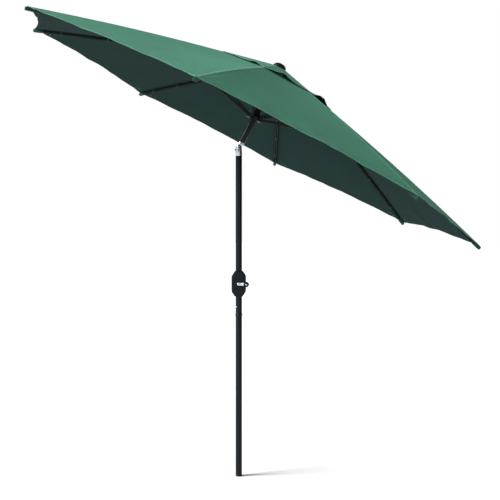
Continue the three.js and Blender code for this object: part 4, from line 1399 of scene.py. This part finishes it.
class UMBRELLA_OT_crown(bpy.types.Operator):
    """Makes the hub with its cap and finial, the runner, their hinge wires and the head pole."""

    bl_idname = "umbrella.crown"
    bl_label = "Crown and runner"

    hub_wall = 0.005
    base = -0.010
    hub_top = 0.012
    socket_top = -0.042
    socket_length = 0.026
    rim_offset = 0.014
    runner_top = 0.010
    runner_foot = -0.026
    runner_head = 0.034
    slot_start = 0.026
    rib_slot = 0.0156
    strut_slot = 0.0096
    wire = 0.0016
    groove = 0.002
    stud = 0.004
    stud_foot = -0.008
    sheave_well = ((-0.0019, -0.003, -0.041), (0.0259, 0.003, -0.015))
    # The finial's rolled rim: distance in from its radius, height over its foot.
    rolled_rim = (
        (0.003, 0.0), (0.0008, 0.001), (0.0, 0.003),
        (0.0, 0.0055), (0.0012, 0.007), (0.0022, 0.0074),
    )
    dome_steps = 14

    def slots(self, width, low, high):
        start, reach = self.slot_start, 2 * HINGE_RING
        return around_spokes(lambda: box((start, -width / 2, low), (reach, width / 2, high)))

    def groove_ring(self, low, high):
        loop = [
            (HINGE_RING - self.groove, low), (HINGE_RING + self.groove, low),
            (HINGE_RING + self.groove, high), (HINGE_RING - self.groove, high),
        ]
        return turned(loop, 64, closed=True)

    def hinge_wire(self):
        loop = arc((HINGE_RING, 0), self.wire, 0, 330, 11)
        return turned(loop, 96, closed=True)

    def execute(self, context):
        make_finishes(context.scene)
        metal, plastic = context.scene.umbrella_metal, context.scene.umbrella_plastic
        sides = metal.sides
        rim = HINGE_RING + self.rim_offset
        collar = POLE_RADIUS + self.hub_wall
        at_hub = HEAD @ Matrix.Translation((0, 0, HUB_HEIGHT))
        at_runner = HEAD @ Matrix.Translation((0, 0, RUNNER_HEIGHT))
        bore, foot = POLE_RADIUS + FIT, self.socket_top - self.socket_length
        hub = turned([
            (bore, foot), (collar - 0.001, foot), (collar, foot + 0.001),
            (collar, self.base - 0.004), (collar + 0.004, self.base), (rim, self.base),
            (rim, self.hub_top), (0, self.hub_top),
            (0, self.socket_top), (bore, self.socket_top),
        ], sides, closed=True)
        well = box(*self.sheave_well)
        well.transform(Matrix.Rotation(FIRST_BEARING + SECTOR / 2, 4, "Z"))
        over = self.hub_top + 0.001
        hub = cut(
            hub,
            self.slots(self.rib_slot, self.base - 0.01, over),
            self.groove_ring(-self.groove, over),
            rod(self.stud + FIT, self.stud_foot, over),
            well,
        )
        part("hub_body", softened(hub, plastic.edge * 0.7), at_hub, "moulded_black", "head", "hub")
        low, high = (value - HUB_HEIGHT for value in span_in("hub_cap", HEAD, 2))
        cover = tube(self.stud + FIT, rim, low, high, sides, 0.0012)
        part("hub_cover", cover, at_hub, "smooth_black", "head", "hub_cap")
        low, high = (value - HUB_HEIGHT for value in span_in("finial", HEAD, 2))
        dome = self.finial(low, high, sides)
        part("finial_dome", dome, at_hub, "smooth_black", "head", "finial")
        low, high = span_in("head_pole", HEAD, 2)
        stem = tube(POLE_RADIUS - metal.wall, POLE_RADIUS, low, high, sides)
        part("head_tube", stem, HEAD, "pole_coat", "head", "head_pole")
        bore = POLE_RADIUS + RUNNING
        collar = bore + self.hub_wall
        runner = turned([
            (bore, self.runner_foot), (collar - 0.001, self.runner_foot),
            (collar, self.runner_foot + 0.001), (collar, self.base), (rim, self.base),
            (rim, self.runner_top - 0.001), (rim - 0.001, self.runner_top),
            (collar + 0.004, self.runner_top + 0.0005), (collar + 0.001, self.runner_top + 0.003),
            (collar, self.runner_head - 0.001), (collar - 0.001, self.runner_head),
            (bore, self.runner_head),
        ], sides, closed=True)
        under = self.base - 0.001
        runner = cut(
            runner,
            self.slots(self.strut_slot, under, self.runner_top + 0.006),
            self.groove_ring(under, self.groove),
        )
        runner = softened(runner, plastic.edge * 0.6)
        part("runner_body", runner, at_runner, "moulded_black", "runner", "runner")
        low, high = (value - RUNNER_HEIGHT for value in span_in("runner_plate", HEAD, 2))
        washer = tube(collar + FIT, rim, low, high, sides, 0.0008)
        part("runner_washer", washer, at_runner, "moulded_black", "runner", "runner_plate")
        wires = (("hub_wire", at_hub, "head", "hub_hinge_wire"),
                 ("runner_wire", at_runner, "runner", "runner_hinge_wire"))
        for name, place, body, node in wires:
            part(name, self.hinge_wire(), place, "blackened_wire", body, node)
        refinish("top_sheave", "natural_nylon")
        return {"FINISHED"}

    def finial(self, low, high, sides):
        """A low dome with a rolled rim, on a stud."""
        radius = span_in("finial", HEAD, 0)[1]
        foot = FINIAL_FOOT - HUB_HEIGHT
        profile = [(0, low), (self.stud, low), (self.stud, foot)]
        profile += [(radius - inward, foot + up) for inward, up in self.rolled_rim]
        inward, up = self.rolled_rim[-1]
        for step in range(1, self.dome_steps):
            angle = math.pi / 2 * step / self.dome_steps
            rise = (high - foot - up) * math.sin(angle)
            profile.append(((radius - inward) * math.cos(angle), foot + up + rise))
        return turned(profile + [(0, high)], sides)


# ---------- poles ----------


class UMBRELLA_OT_poles(bpy.types.Operator):
    """Makes the two steel poles, the foot cap and the snap button at their joint."""

    bl_idname = "umbrella.poles"
    bl_label = "Poles"

    collar_wall = 0.0015
    collar_length = 0.018
    button = 0.004
    axle_hole = 0.0058

    def hole(self, height):
        cutter = lying(rod(self.button + FIT, 0, 2 * POLE_RADIUS, 32), "X")
        cutter.transform(SNAP @ Matrix.Rotation(math.pi, 4, "Z"))
        return moved(cutter, z=height)

    def execute(self, context):
        make_finishes(context.scene)
        metal = context.scene.umbrella_metal
        sides, wall = metal.sides, metal.wall
        outer, inner = POLE_RADIUS, POLE_RADIUS - wall
        plug = inner - FIT
        button_height = sum(span_in("snap_button", POLE, 2)) / 2
        low, high = span_in("foot_cap", POLE, 2)
        rim = span_in("lower_pole", POLE, 2)[0] - FIT
        foot = turned([
            (0, low), (outer - 0.0015, low), (outer, low + 0.0012), (outer, rim - 0.0006),
            (outer - 0.0006, rim), (plug, rim), (plug, high - 0.001), (plug - 0.001, high),
            (0, high),
        ], sides)
        part("foot_plug", foot, POLE, "smooth_black", "pole", "foot_cap")
        start, end = span_in("lower_pole", POLE, 2)
        joint = span_in("main_pole", POLE, 2)[0] - FIT
        lower = turned([
            (inner, start), (outer - 0.0005, start), (outer, start + 0.0005),
            (outer, joint - 0.0016), (outer - 0.0004, joint - 0.0006), (outer - 0.0012, joint),
            (plug, joint), (plug, end - 0.0006), (plug - 0.0006, end), (plug - wall, end),
            (plug - wall, joint - 2 * wall), (inner, joint - 4 * wall),
        ], sides, closed=True)
        lower = cut(lower, self.hole(button_height))
        part("lower_tube", lower, POLE, "pole_coat", "pole", "lower_pole")
        start, end = span_in("main_pole", POLE, 2)
        collar, top = outer + self.collar_wall, start + self.collar_length
        main = turned([
            (inner, start), (collar - 0.0006, start), (collar, start + 0.0006),
            (collar, top - 0.0006), (collar - 0.0004, top), (outer + 0.0003, top + 0.0012),
            (outer, top + 0.0022), (outer, end - 0.0005), (outer - 0.0005, end), (inner, end),
        ], sides, closed=True)
        crank = joint_point("crank_turn").z
        axle_hole = cross_rod(self.axle_hole, 0.03, z=crank)
        main = cut(main, self.hole(button_height), axle_hole)
        part("main_tube", main, POLE, "pole_coat", "pole", "main_pole")
        root, tip = sorted(-value for value in span_in("snap_button", SNAP, 0))
        knob = turned([
            (0, root), (self.button, root), (self.button, tip - 0.0022),
            (self.button - 0.0004, tip - 0.0011), (self.button - 0.0014, tip - 0.0003), (0, tip),
        ], 32)
        place = SNAP @ Matrix.Translation((0, 0, button_height))
        place = place @ Matrix.Rotation(-math.pi / 2, 4, "Y")
        part("snap_knob", knob, place, "satin_steel", "snap_button", "snap_button")
        refinish("snap_spring", "plated_steel")
        return {"FINISHED"}


# ---------- tilt knuckle ----------


class UMBRELLA_OT_knuckle(bpy.types.Operator):
    """Makes the die-cast fork and tongue of the tilt, their pin and the push button."""

    bl_idname = "umbrella.knuckle"
    bl_label = "Tilt knuckle"

    tongue_radius = 0.010
    tongue_thickness = 0.013
    pin = 0.003
    back_wall = 0.0045
    plug_length = 0.034
    drop = 0.009
    button = 0.004
    collar_gap = 0.003
    collar_length = 0.016
    notches = 4
    notch_radius = 0.0012
    notch_set = 0.003

    def fork(self, sides, wall):
        pivot = joint_point("tilt").z
        base = span_in("main_pole", POLE, 2)[1] + FIT
        slot = self.tongue_thickness / 2 + 0.0005
        floor = pivot - self.tongue_radius - 0.004
        radius, plug = POLE_RADIUS, POLE_RADIUS - wall - FIT
        stock = rod(radius, base, pivot + radius, sides)
        wide, shoulder, crown = 1.2 * radius, pivot - 0.0005, radius - 0.0002
        cheeks = slab(
            [(-wide, shoulder), (-wide, base - 0.01), (wide, base - 0.01), (wide, shoulder)]
            + arc((0, pivot), crown, 0, 180, 32),
            4 * radius,
        )
        hole = lying(rod(self.button + FIT, -2 * radius, 0, 32), "X")
        reach = 4 * radius
        body = cut(
            combined("INTERSECT", stock, [cheeks]),
            box((-radius + self.back_wall, -slot, floor), (reach, slot, reach + pivot)),
            box((-reach, -slot, pivot), (0.001, slot, pivot + reach)),
            moved(hole, z=pivot - self.drop),
            cross_rod(self.pin + FIT, reach, z=pivot),
        )
        shank = turned([
            (0, base - self.plug_length), (plug - 0.001, base - self.plug_length),
            (plug, base - self.plug_length + 0.001), (plug, base + 0.001), (0, base + 0.001),
        ], sides)
        return join([softened(body, 0.0009, 3), shank])

    def tongue(self, sides, wall):
        radius, plug = self.tongue_radius, POLE_RADIUS - wall - FIT
        half = self.tongue_thickness / 2
        base = POLE_RADIUS + self.collar_gap
        top = base + self.collar_length
        neck = box((-radius, -half, 0), (radius, half, base + 0.002))
        body = combined("UNION", cross_rod(radius, half, sides=sides), [neck])
        low, high = JOINTS["tilt"]["range_deg"]
        first = math.atan2(-self.drop, -radius - self.notch_set)
        cutters = [cross_rod(self.pin + FIT, 0.1)]
        for notch in range(self.notches):
            bearing = first + math.radians(high - low) * notch / (self.notches - 1)
            x, z = radius * math.cos(bearing), radius * math.sin(bearing)
            cutters.append(cross_rod(self.notch_radius, 0.1, x, z, 16))
        body = cut(body, *cutters)
        outer = POLE_RADIUS
        collar = turned([
            (0, base), (outer - 0.0016, base), (outer - 0.0004, base + 0.0005),
            (outer, base + 0.0018), (outer, base + 0.0058), (outer - 0.0007, base + 0.0064),
            (outer - 0.0007, base + 0.0082), (outer, base + 0.0088), (outer, top - 0.001),
            (outer - 0.001, top), (plug, top), (plug, top + self.plug_length - 0.001),
            (plug - 0.001, top + self.plug_length), (0, top + self.plug_length),
        ], sides)
        return join([softened(body, 0.0007, 2), collar])

    def execute(self, context):
        make_finishes(context.scene)
        metal = context.scene.umbrella_metal
        sides, wall = metal.sides, metal.wall
        part("knuckle_fork", self.fork(sides, wall), POLE, "cast_zinc", "pole", "tilt_fork")
        part("knuckle_tongue", self.tongue(sides, wall), HEAD, "cast_zinc", "head", "tilt_tongue")
        pivot = joint_point("tilt")
        reach = span_in("tilt_pin", POLE, 1)[1]
        head, start = self.pin + 0.0025, POLE_RADIUS + FIT
        half = [(self.pin, start), (head, start), (head, start + 0.0006)]
        half.append((head - 0.0012, reach - 0.0003))
        profile = [(0, -reach)] + [(r, -z) for r, z in reversed(half)] + half + [(0, reach)]
        pin, place = lying(turned(profile, 32), "Y"), Matrix.Translation(pivot)
        part("knuckle_pin", pin, place, "plated_steel", "pole", "tilt_pin")
        root, tip = sorted(-value for value in span_in("tilt_button", POLE, 0))
        button = turned([
            (0, root), (self.button / 2, root), (self.button / 2, root + 0.002),
            (self.button, root + 0.002), (self.button, tip - 0.0015),
            (self.button - 0.0005, tip - 0.0005),
            (self.button - 0.0015, tip), (0, tip - 0.0003),
        ], 32)
        place = Matrix.Translation(pivot - self.drop * UP) @ Matrix.Rotation(-math.pi / 2, 4, "Y")
        part("tilt_push", button, place, "smooth_black", "tilt_button", "tilt_button")
        return {"FINISHED"}


# ---------- winch ----------


class UMBRELLA_OT_winch(bpy.types.Operator):
    """Makes the winch casing with its screws, and the crank arm with its knob."""

    bl_idname = "umbrella.winch"
    bl_label = "Winch"

    half_width = 0.0425
    half_height = 0.076
    half_depth = 0.039
    neck_wall = 0.003
    shoulder = 0.031
    fillet = 0.008
    corner = 0.009
    wall = 0.0028
    bush = 0.0096
    screw_offset = 0.011
    screw_height = 0.034
    screw_head = 0.0038
    screw_shank = 0.0018
    screw_hole = 0.0021
    screw_sink = 0.008
    boss_wall = 0.0016
    ring_wall = 0.0045  # of the raised ring round the front bush
    ring_rise = 0.0012
    axle = 0.005
    arm_reach = (joint_point("knob_spin") - joint_point("crank_turn")).x
    arm_hub = 0.008
    arm_end = 0.008
    knob_radius = 0.016
    knob_pin = 0.003
    flutes = 10
    flute_depth = 0.0009
    flute_share = 0.42  # of the grip's length, to each side of its middle

    def loop(self, inset, depth):
        """The casing's outline, drawn in by inset, at a depth."""
        wide, high = self.half_width - inset, self.half_height - inset
        neck = POLE_RADIUS + self.neck_wall - inset / 2
        shoulder = high - self.shoulder + inset / 2
        quarter = [(wide, shoulder), (neck, high)]
        points = quarter + [(-x, y) for x, y in reversed(quarter)]
        points += [(-x, -y) for x, y in quarter] + [(x, -y) for x, y in reversed(quarter)]
        corners = rounded_loop(points, max(self.corner - inset / 2, 0.003))
        return [Vector((point[0], point[1], depth)) for point in corners]

    def shell(self, inset, start, side):
        """Half of the casing as a solid, from the parting plane outward."""
        loops = [self.loop(inset, side * start)]
        deep = self.half_depth - inset
        steps = 6
        for step in range(steps + 1):
            angle = math.pi / 2 * step / steps
            drawn = self.fillet * (1 - math.cos(angle))
            depth = deep - self.fillet + self.fillet * math.sin(angle)
            loops.append(self.loop(inset + drawn, side * depth))
        return loft(loops)

    def casing(self, side, sides):
        through = 0.1
        body = cut(
            self.shell(0.0, FIT / 2, side),
            self.shell(self.wall, -0.001, side),
            lying(rod(POLE_RADIUS + FIT, -through, through, sides), "Y"),
            rod(self.bush, -through, through, 48),
        )
        if side < 0:
            seat = self.screw_sink - self.half_depth
            boss, head = self.screw_head + self.boss_wall, self.screw_head + FIT
            body = combined("UNION", body, [
                moved(rod(boss, seat - 0.006, -0.002, 24), x, y) for x, y in self.screw_places()
            ])
            for x, y in self.screw_places():
                counterbore = rod(head, -through, seat, 24)
                hole = rod(self.screw_hole, -through, through, 24)
                body = cut(body, moved(counterbore, x, y), moved(hole, x, y))
        body = softened(body, 0.0006)
        if side > 0:
            front = self.half_depth
            ring = self.bush + self.ring_wall
            collar = tube(self.bush, ring, front - 0.001, front + self.ring_rise, sides)
            body = join([body, collar])
        return body

    def screw_places(self):
        across = POLE_RADIUS + self.screw_offset
        return [(x * across, y * self.screw_height) for x in (1, -1) for y in (1, -1)]

    def screw(self):
        """A pan-head screw with a cross recess, its head at the casing's back."""
        seat = self.screw_sink - self.half_depth - FIT
        crown = seat - 0.003
        head, shank, end = self.screw_head, self.screw_shank, self.half_depth / 2
        body = turned([
            (0, crown - 0.0003), (head - 0.0012, crown), (head, crown + 0.001),
            (head, seat), (shank, seat), (shank, end), (0, end + 0.001),
        ], 32)
        return self.recessed(body, 0.0021, 0.0005, crown - 0.001, crown + 0.0013)

    def recessed(self, body, reach, width, low, high):
        """The body with a cross cut into it from one height to another."""
        arms = ((reach, width), (width, reach))
        return cut(body, *(box((-x, -y, low), (x, y, high)) for x, y in arms))

    def arm(self, low, high):
        lean = math.degrees(math.asin((self.arm_hub - self.arm_end) / self.arm_reach))
        outline = arc((0, 0), self.arm_hub, 90 - lean, 270 + lean, 28)
        outline += arc((self.arm_reach, 0), self.arm_end, -90 + lean, 90 - lean, 24)
        under, over = low - 0.01, high + 0.01
        body = cut(
            plate(outline, low, high),
            rod(self.axle + FIT, under, over, 40),
            moved(rod(self.knob_pin + FIT, under, over), self.arm_reach),
        )
        return softened(body, 0.0011, 3)

    def knob(self, low, high):
        """A barrel grip with shallow flutes."""
        radius, bore = self.knob_radius, self.knob_pin + 0.0004
        middle = (low + high) / 2
        line = [(bore, low), (radius - 0.004, low), (radius - 0.0015, low + 0.005)]
        line += [(radius, middle), (radius - 0.001, high - 0.005)]
        line += [(radius - 0.004, high), (bore, high)]
        profile = rounded(line, 0.004, 6)
        body = turned([(point[0], point[1]) for point in profile], 120, closed=True)
        for vertex in body.verts:
            turn = math.atan2(vertex.co.y, vertex.co.x)
            away = abs(vertex.co.z - middle) / (self.flute_share * (high - low))
            fade = min(1.0, 2.5 * max(0.0, 1 - away))
            outside = math.hypot(vertex.co.x, vertex.co.y) > radius * 0.8
            depth = self.flute_depth * outside * fade
            depth *= max(0.0, math.cos(self.flutes * turn)) ** 2
            scale = 1 - depth / radius
            vertex.co.x *= scale
            vertex.co.y *= scale
        return body

    def execute(self, context):
        make_finishes(context.scene)
        sides = context.scene.umbrella_metal.sides
        halves = (("casing_front_shell", 1, "crank_casing_front"),
                  ("casing_back_shell", -1, "crank_casing_back"))
        for name, side, node in halves:
            part(name, self.casing(side, sides), WINCH, "moulded_black", "pole", node)
        screw = self.screw()
        for number in range(1, 5):
            node = f"casing_screw_{number}"
            x = sum(span_in(node, WINCH, 0)) / 2
            y = sum(span_in(node, WINCH, 1)) / 2
            place = WINCH @ Matrix.Translation((x, y, 0)) @ Matrix.Rotation(0.5 * number, 4, "Z")
            part(f"casing_bolt_{number}", screw.copy(), place, "plated_steel", "pole", node)
        low, high = span_in("crank_arm", WINCH, 2)
        part("crank_lever", self.arm(low, high), WINCH, "cast_zinc", "crank", "crank_arm")
        low, high = span_in("crank_screw", WINCH, 2)
        start = span_in("crank_arm", WINCH, 2)[1] + FIT
        head, shank = self.axle + 0.002, self.screw_shank
        bolt = turned([
            (0, low), (shank, low), (shank, start), (head, start), (head, start + 0.001),
            (head - 0.001, high - 0.001), (head - 0.003, high - 0.0003), (0, high),
        ], 40)
        bolt = self.recessed(bolt, 0.0028, 0.0006, high - 0.0016, high + 0.001)
        part("crank_bolt", bolt, WINCH, "plated_steel", "crank", "crank_screw")
        at_knob = WINCH @ Matrix.Translation((self.arm_reach, 0, 0))
        low, high = span_in("crank_knob", WINCH, 2)
        grip = self.knob(low, high)
        part("crank_grip", grip, at_knob, "smooth_black", "crank_knob", "crank_knob")
        low, high = span_in("knob_pin", WINCH, 2)
        arm_back = span_in("crank_arm", WINCH, 2)[0] - FIT
        end = span_in("crank_knob", WINCH, 2)[1] + RUNNING
        wide = self.knob_pin + 0.002
        rivet = turned([
            (0, low), (wide - 0.001, low), (wide, low + 0.001), (wide, arm_back),
            (self.knob_pin, arm_back), (self.knob_pin, end), (wide, end), (wide, end + 0.0008),
            (wide - 0.0015, high - 0.0003),
            (0, high),
        ], 32)
        part("knob_rivet", rivet, at_knob, "plated_steel", "crank", "knob_pin")
        for node, finish in (
            ("winch_axle", "plated_steel"), ("winch_drum", "natural_nylon"),
            ("brake_spring", "plated_steel"), ("axle_bush_front", "natural_nylon"),
            ("axle_bush_back", "natural_nylon"),
        ):
            refinish(node, finish)
        return {"FINISHED"}


# ---------- floor, light and camera ----------


class UMBRELLA_OT_stage(bpy.types.Operator):
    """Makes the pale floor, the soft light and the camera."""

    bl_idname = "umbrella.stage"
    bl_label = "Stage"

    floor_size = 80.0
    shift = (0.0224, -0.0746)
    sky = 0.40
    key_strength = 5.8
    key_spread = math.radians(24)
    key_from = (-0.85, -0.22, 0.52)
    front_strength = 0.35
    front_spread = math.radians(8)
    front_from = (0.15, -1.0, 0.08)

    def sun(self, name, strength, spread, source):
        light = bpy.data.lights.new(name, "SUN")
        light.energy = strength
        light.angle = spread
        lamp = bpy.data.objects.new(name, light)
        lamp.rotation_euler = Vector(source).to_track_quat("Z", "Y").to_euler()
        bpy.context.scene.collection.objects.link(lamp)

    def studio(self):
        """An even white surround: full white behind the object, softer as light on it."""
        world = bpy.data.worlds.new("studio")
        world.use_nodes = True
        nodes, links = world.node_tree.nodes, world.node_tree.links
        sky = nodes["Background"]
        sky.inputs["Color"].default_value = (1.0, 1.0, 1.0, 1.0)
        ray = nodes.new("ShaderNodeLightPath")
        level = nodes.new("ShaderNodeMapRange")
        level.inputs["To Min"].default_value = self.sky
        links.new(ray.outputs["Is Camera Ray"], level.inputs["Value"])
        links.new(level.outputs["Result"], sky.inputs["Strength"])
        return world

    def execute(self, context):
        scene = context.scene
        stage = scene.umbrella_stage
        half = self.floor_size / 2
        corners = [(-half, -half), (half, -half), (half, half), (-half, half)]
        mesh = bpy.data.meshes.new("floor")
        mesh.from_pydata([(x, y, -FIT) for x, y in corners], [], [(0, 1, 2, 3)])
        mesh.materials.append(finish_floor("pale_floor", stage.floor))
        floor = bpy.data.objects.new("floor", mesh)
        scene.collection.objects.link(floor)
        scene.world = self.studio()
        self.sun("key", self.key_strength, self.key_spread, self.key_from)
        self.sun("front", self.front_strength, self.front_spread, self.front_from)
        scene.view_settings.view_transform = "Standard"
        camera = bpy.data.cameras.new("camera")
        camera.lens = stage.lens
        camera.sensor_width = 36
        camera.shift_x, camera.shift_y = self.shift
        camera.clip_end = 200
        view = bpy.data.objects.new("camera", camera)
        turn = stage.bearing
        view.location = (
            stage.distance * math.sin(turn), -stage.distance * math.cos(turn), stage.height
        )
        view.rotation_euler = (math.pi / 2, 0, turn)
        scene.collection.objects.link(view)
        scene.camera = view
        return {"FINISHED"}


# ---------- panel and registration ----------

OPERATORS = (
    UMBRELLA_OT_poles,
    UMBRELLA_OT_knuckle,
    UMBRELLA_OT_winch,
    UMBRELLA_OT_crown,
    UMBRELLA_OT_ribs,
    UMBRELLA_OT_canopy,
    UMBRELLA_OT_vent,
    UMBRELLA_OT_stage,
)


class UMBRELLA_PT_panel(bpy.types.Panel):
    """Lists the steps that build the umbrella, and its sizes and colours."""

    bl_idname = "UMBRELLA_PT_panel"
    bl_label = "Umbrella"
    bl_space_type = "VIEW_3D"
    bl_region_type = "UI"
    bl_category = "Umbrella"

    def draw(self, context):
        for kind in OPERATORS:
            self.layout.operator(kind.bl_idname)
        for name in GROUPS:
            group = getattr(context.scene, name)
            column = self.layout.column(heading=name.replace("umbrella_", "").title())
            for key in group.bl_rna.properties.keys():
                if key not in ("rna_type", "name"):
                    column.prop(group, key)


GROUPS = {
    "umbrella_cloth": UMBRELLA_PG_cloth,
    "umbrella_metal": UMBRELLA_PG_metal,
    "umbrella_plastic": UMBRELLA_PG_plastic,
    "umbrella_stage": UMBRELLA_PG_stage,
}


def register():
    for kind in (*GROUPS.values(), *OPERATORS, UMBRELLA_PT_panel):
        bpy.utils.register_class(kind)
    for name, kind in GROUPS.items():
        setattr(bpy.types.Scene, name, PointerProperty(type=kind))


def unregister():
    for name in GROUPS:
        delattr(bpy.types.Scene, name)
    for kind in reversed((*GROUPS.values(), *OPERATORS, UMBRELLA_PT_panel)):
        bpy.utils.unregister_class(kind)


def main():
    register()
    bpy.ops.umbrella.poles()
    bpy.ops.umbrella.knuckle()
    bpy.ops.umbrella.winch()
    bpy.ops.umbrella.crown()
    bpy.ops.umbrella.ribs()
    bpy.ops.umbrella.canopy()
    bpy.ops.umbrella.vent()
    bpy.ops.umbrella.stage()
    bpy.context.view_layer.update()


if __name__ == "__main__":
    main()
